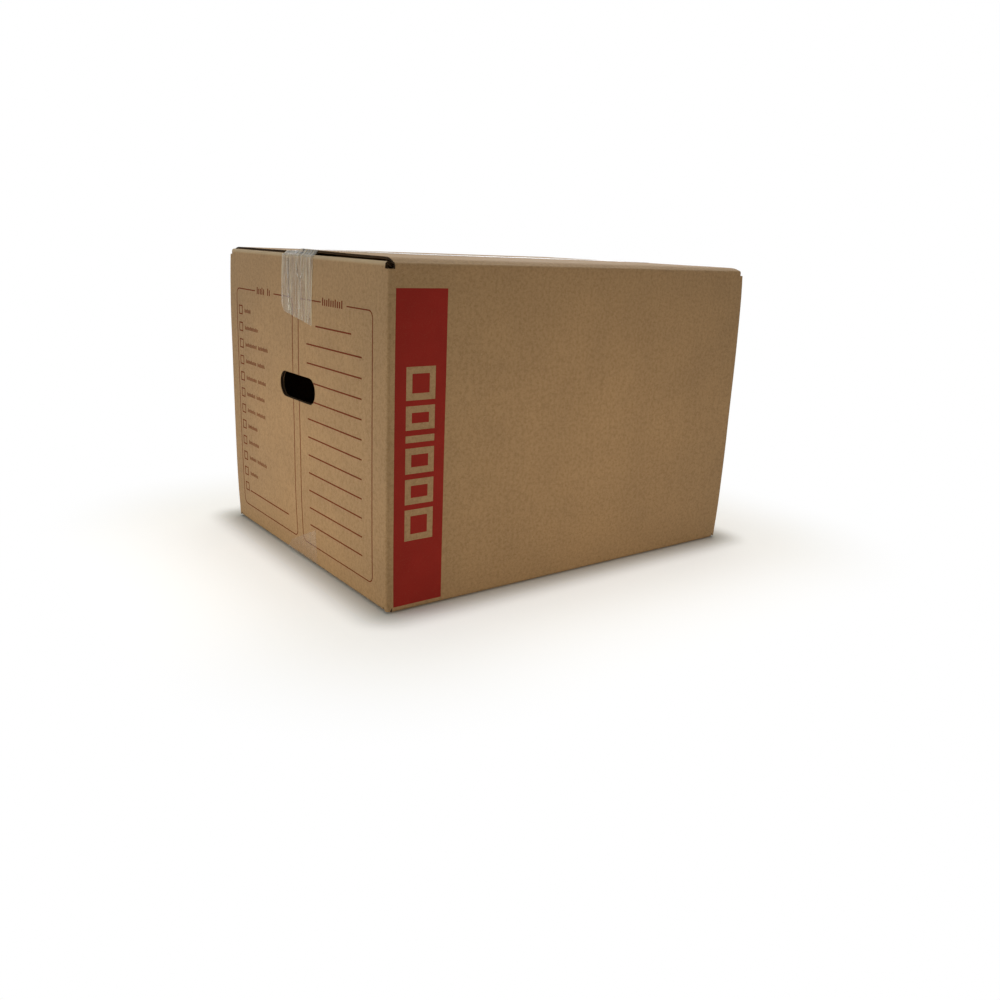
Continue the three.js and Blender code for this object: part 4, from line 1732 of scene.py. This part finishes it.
@dataclass
class Studio:
    """A pale floor, soft light and the camera."""

    camera_place: Triple = (-0.6235, -0.8567, 0.3390)
    camera_azimuth: float = 52.46
    camera_down: float = 16.04
    camera_roll: float = 2.49
    focal_px: float = 893.1
    image_px: float = 1000.0
    sensor_mm: float = 36.0
    camera_near: float = 0.01
    world_colour: tuple[float, float, float, float] = (1.0, 0.99, 0.97, 1)
    world_light: float = 0.2
    floor_colour: str = "dedcd8"
    floor_size: float = 40.0
    floor_drop: float = 0.0002
    foot_half: Pair = (0.229, 0.178)
    # Broad lamps hang overhead and behind, and two warm ones stand low before the seen faces
    lamps: tuple[Lamp, ...] = (
        Lamp("key_lamp", (-1.9, 0.1, 2.1), 1.6, 6.2, (0.68, 0.9, 1.0)),
        Lamp("top_lamp", (0.4, 0.5, 2.6), 2.2, 23, (1.0, 0.97, 0.82)),
        Lamp("end_bounce", (-0.56, 0.0, 0.02), 0.3, 0.95, (1.0, 0.88, 0.68), (-0.24, 0.0, 0.03)),
        Lamp("side_bounce", (0.0, -0.5, 0.02), 0.44, 0.74, (1.0, 0.88, 0.68), (0.0, -0.18, 0.03)),
        Lamp("back_lamp", (1.7, 1.4, 1.2), 1.4, 5, (1.0, 0.98, 0.95)),
    )

    def build(self) -> None:
        """Set up the stage."""
        self.add_floor()
        self.add_world()
        for lamp in self.lamps:
            self.add_lamp(lamp)
        self.add_camera()

    def background_rays(self, tree: Tree) -> Node:
        """Tell the rays that show the background straight, in gloss or through glass.

        Args:
            tree: The material's or world's node tree.

        Returns:
            A node that gives 1 on those rays.
        """
        path = add_node(tree, "LightPath").outputs
        straight = {0: path["Is Camera Ray"], 1: path["Is Glossy Ray"]}
        seen = add_node(tree, "Math", links=straight, operation="MAXIMUM")
        through = {0: seen, 1: path["Is Transmission Ray"]}
        return add_node(tree, "Math", links=through, operation="MAXIMUM")

    def add_floor(self) -> None:
        """Add a wide floor that looks white, with the carton's shadow near its foot and a painted shadow
        where its glow fades towards the foot.
        """
        select_nothing()
        bpy.ops.mesh.primitive_plane_add(size=self.floor_size, location=(0, 0, -self.floor_drop))
        floor = bpy.context.object
        floor.name = "floor"
        material, tree = new_material("painted_floor")
        place = add_node(tree, "TexCoord").outputs["Object"]
        beside = add_node(tree, "VectorMath", links={0: place}, operation="ABSOLUTE")
        foot = Vector((*self.foot_half, 0.0))
        beside = add_node(tree, "VectorMath", {1: foot}, {0: beside}, operation="SUBTRACT")
        beside = add_node(tree, "VectorMath", {1: (0, 0, 0)}, {0: beside}, operation="MAXIMUM")
        beside = add_node(tree, "VectorMath", links={0: beside}, operation="LENGTH").outputs["Value"]
        # Painted shadow: the floor's glow fades out towards the carton's foot, on top of its real shadow
        painted_shadow_range = {"From Max": 0.05, "To Max": 0.5}
        glow_fading_to_foot = add_node(tree, "MapRange", painted_shadow_range, {"Value": beside}, interpolation_type="SMOOTHSTEP")
        diffuse = add_node(tree, "BsdfDiffuse", {"Color": linear(self.floor_colour)})
        glow = add_node(tree, "Emission", {"Color": WHITE}, {"Strength": glow_fading_to_foot})
        near = add_node(tree, "AddShader", links={0: diffuse, 1: glow})
        white = add_node(tree, "Emission", {"Color": WHITE, "Strength": 1.0})
        far_range = {"From Min": 0.03, "From Max": 0.24}
        far_off = add_node(tree, "MapRange", far_range, {"Value": beside}, interpolation_type="SMOOTHSTEP")
        seen = add_node(tree, "MixShader", links={0: far_off, 1: near, 2: white})
        rays = self.background_rays(tree)
        surface = add_node(tree, "MixShader", links={0: rays, 1: diffuse, 2: seen})
        add_node(tree, "OutputMaterial", links={"Surface": surface})
        floor.data.materials.append(material)

    def add_world(self) -> None:
        """Make the surroundings white to the eye and a plain grey light on the carton."""
        world = bpy.data.worlds.new("studio")
        world.use_nodes = True
        tree = world.node_tree
        tree.nodes.clear()
        light = add_node(tree, "Background", {"Color": self.world_colour, "Strength": self.world_light})
        white = add_node(tree, "Background", {"Color": WHITE, "Strength": 1.0})
        mixed = add_node(tree, "MixShader", links={0: self.background_rays(tree), 1: light, 2: white})
        add_node(tree, "OutputWorld", links={"Surface": mixed})
        bpy.context.scene.world = world

    def add_lamp(self, lamp: Lamp) -> None:
        """Add a lamp that the camera can't see.

        Args:
            lamp: Its values.
        """
        data = bpy.data.lights.new(lamp.name, "AREA")
        data.shape = "SQUARE"
        data.size = lamp.size
        data.energy = lamp.watts
        data.color = lamp.colour
        fitting = bpy.data.objects.new(lamp.name, data)
        bpy.context.collection.objects.link(fitting)
        fitting.location = lamp.place
        fitting.rotation_euler = (Vector(lamp.aim) - Vector(lamp.place)).to_track_quat("-Z", "Y").to_euler()
        fitting.visible_camera = False

    def add_camera(self) -> None:
        """Add the camera at the photograph's viewing angle."""
        azimuth, down = math.radians(self.camera_azimuth), math.radians(self.camera_down)
        level_way = Vector((math.cos(azimuth), math.sin(azimuth), 0))
        forward = level_way * math.cos(down) - Z * math.sin(down)
        level = forward.cross(Z).normalized()
        above = level.cross(forward)
        roll = math.radians(self.camera_roll)
        right = level * math.cos(roll) + above * math.sin(roll)
        up = right.cross(forward)
        data = bpy.data.cameras.new("camera")
        data.sensor_width = self.sensor_mm
        data.lens = self.focal_px * self.sensor_mm / self.image_px
        data.clip_start = self.camera_near
        camera = bpy.data.objects.new("camera", data)
        bpy.context.collection.objects.link(camera)
        turn = Matrix((right, up, -forward)).transposed().to_4x4()
        camera.matrix_world = Matrix.Translation(self.camera_place) @ turn
        bpy.context.scene.camera = camera


def hand_over(piece: Piece, slot: str, *nodes: str) -> None:
    """Hand a finished piece to the frame.

    Args:
        piece: The piece.
        slot: The record's material slot; not used.
        *nodes: The CAD nodes that it stands for.
    """
    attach(piece, "root")
    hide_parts(*nodes)
    log.info("%s: %d faces", piece.name, len(piece.data.polygons))


def main() -> None:
    """Build the carton, its tape and its print, and set the stage."""
    logging.basicConfig(level=logging.INFO, format="%(message)s")
    bpy.context.scene.view_settings.view_transform = "Standard"
    board = FoldedBoard()
    ink = FlexoInk().build()
    line_ink = FlexoInk("brown_red_flexographic_ink", "74341f", "7e4a34").build()
    forms = EndForms(board)
    hand_over(Carton(board).build(), "corrugated_board", "carton")
    top_finish = PackingFilm("clear_packing_tape_creased", folds=TOP_FOLDS)
    bottom_finish = PackingFilm(haze=0.05, edge_mm=0.8, streak_shade=0.95)
    top = TapeRun(board, "tape_over_top", Lid.TOP, (67.0, 57.0), 60.0, top_finish)
    bottom = TapeRun(board, "tape_under_bottom", Lid.BOTTOM, (40.0, 8.0), 60.0, bottom_finish)
    hand_over(top.build(), "packing_tape", "top_tape")
    hand_over(bottom.build(), "packing_tape", "bottom_tape")
    hand_over(SizeBand(board).build(ink), "red_ink", "size_band_print")
    contents = forms.build_contents(line_ink)
    hand_over(contents, "red_ink", "contents_form_print_upper", "contents_form_print_lower")
    hand_over(forms.build_room(line_ink), "red_ink", "room_form_print_upper", "room_form_print_lower")
    Studio().build()


if __name__ == "__main__":
    main()
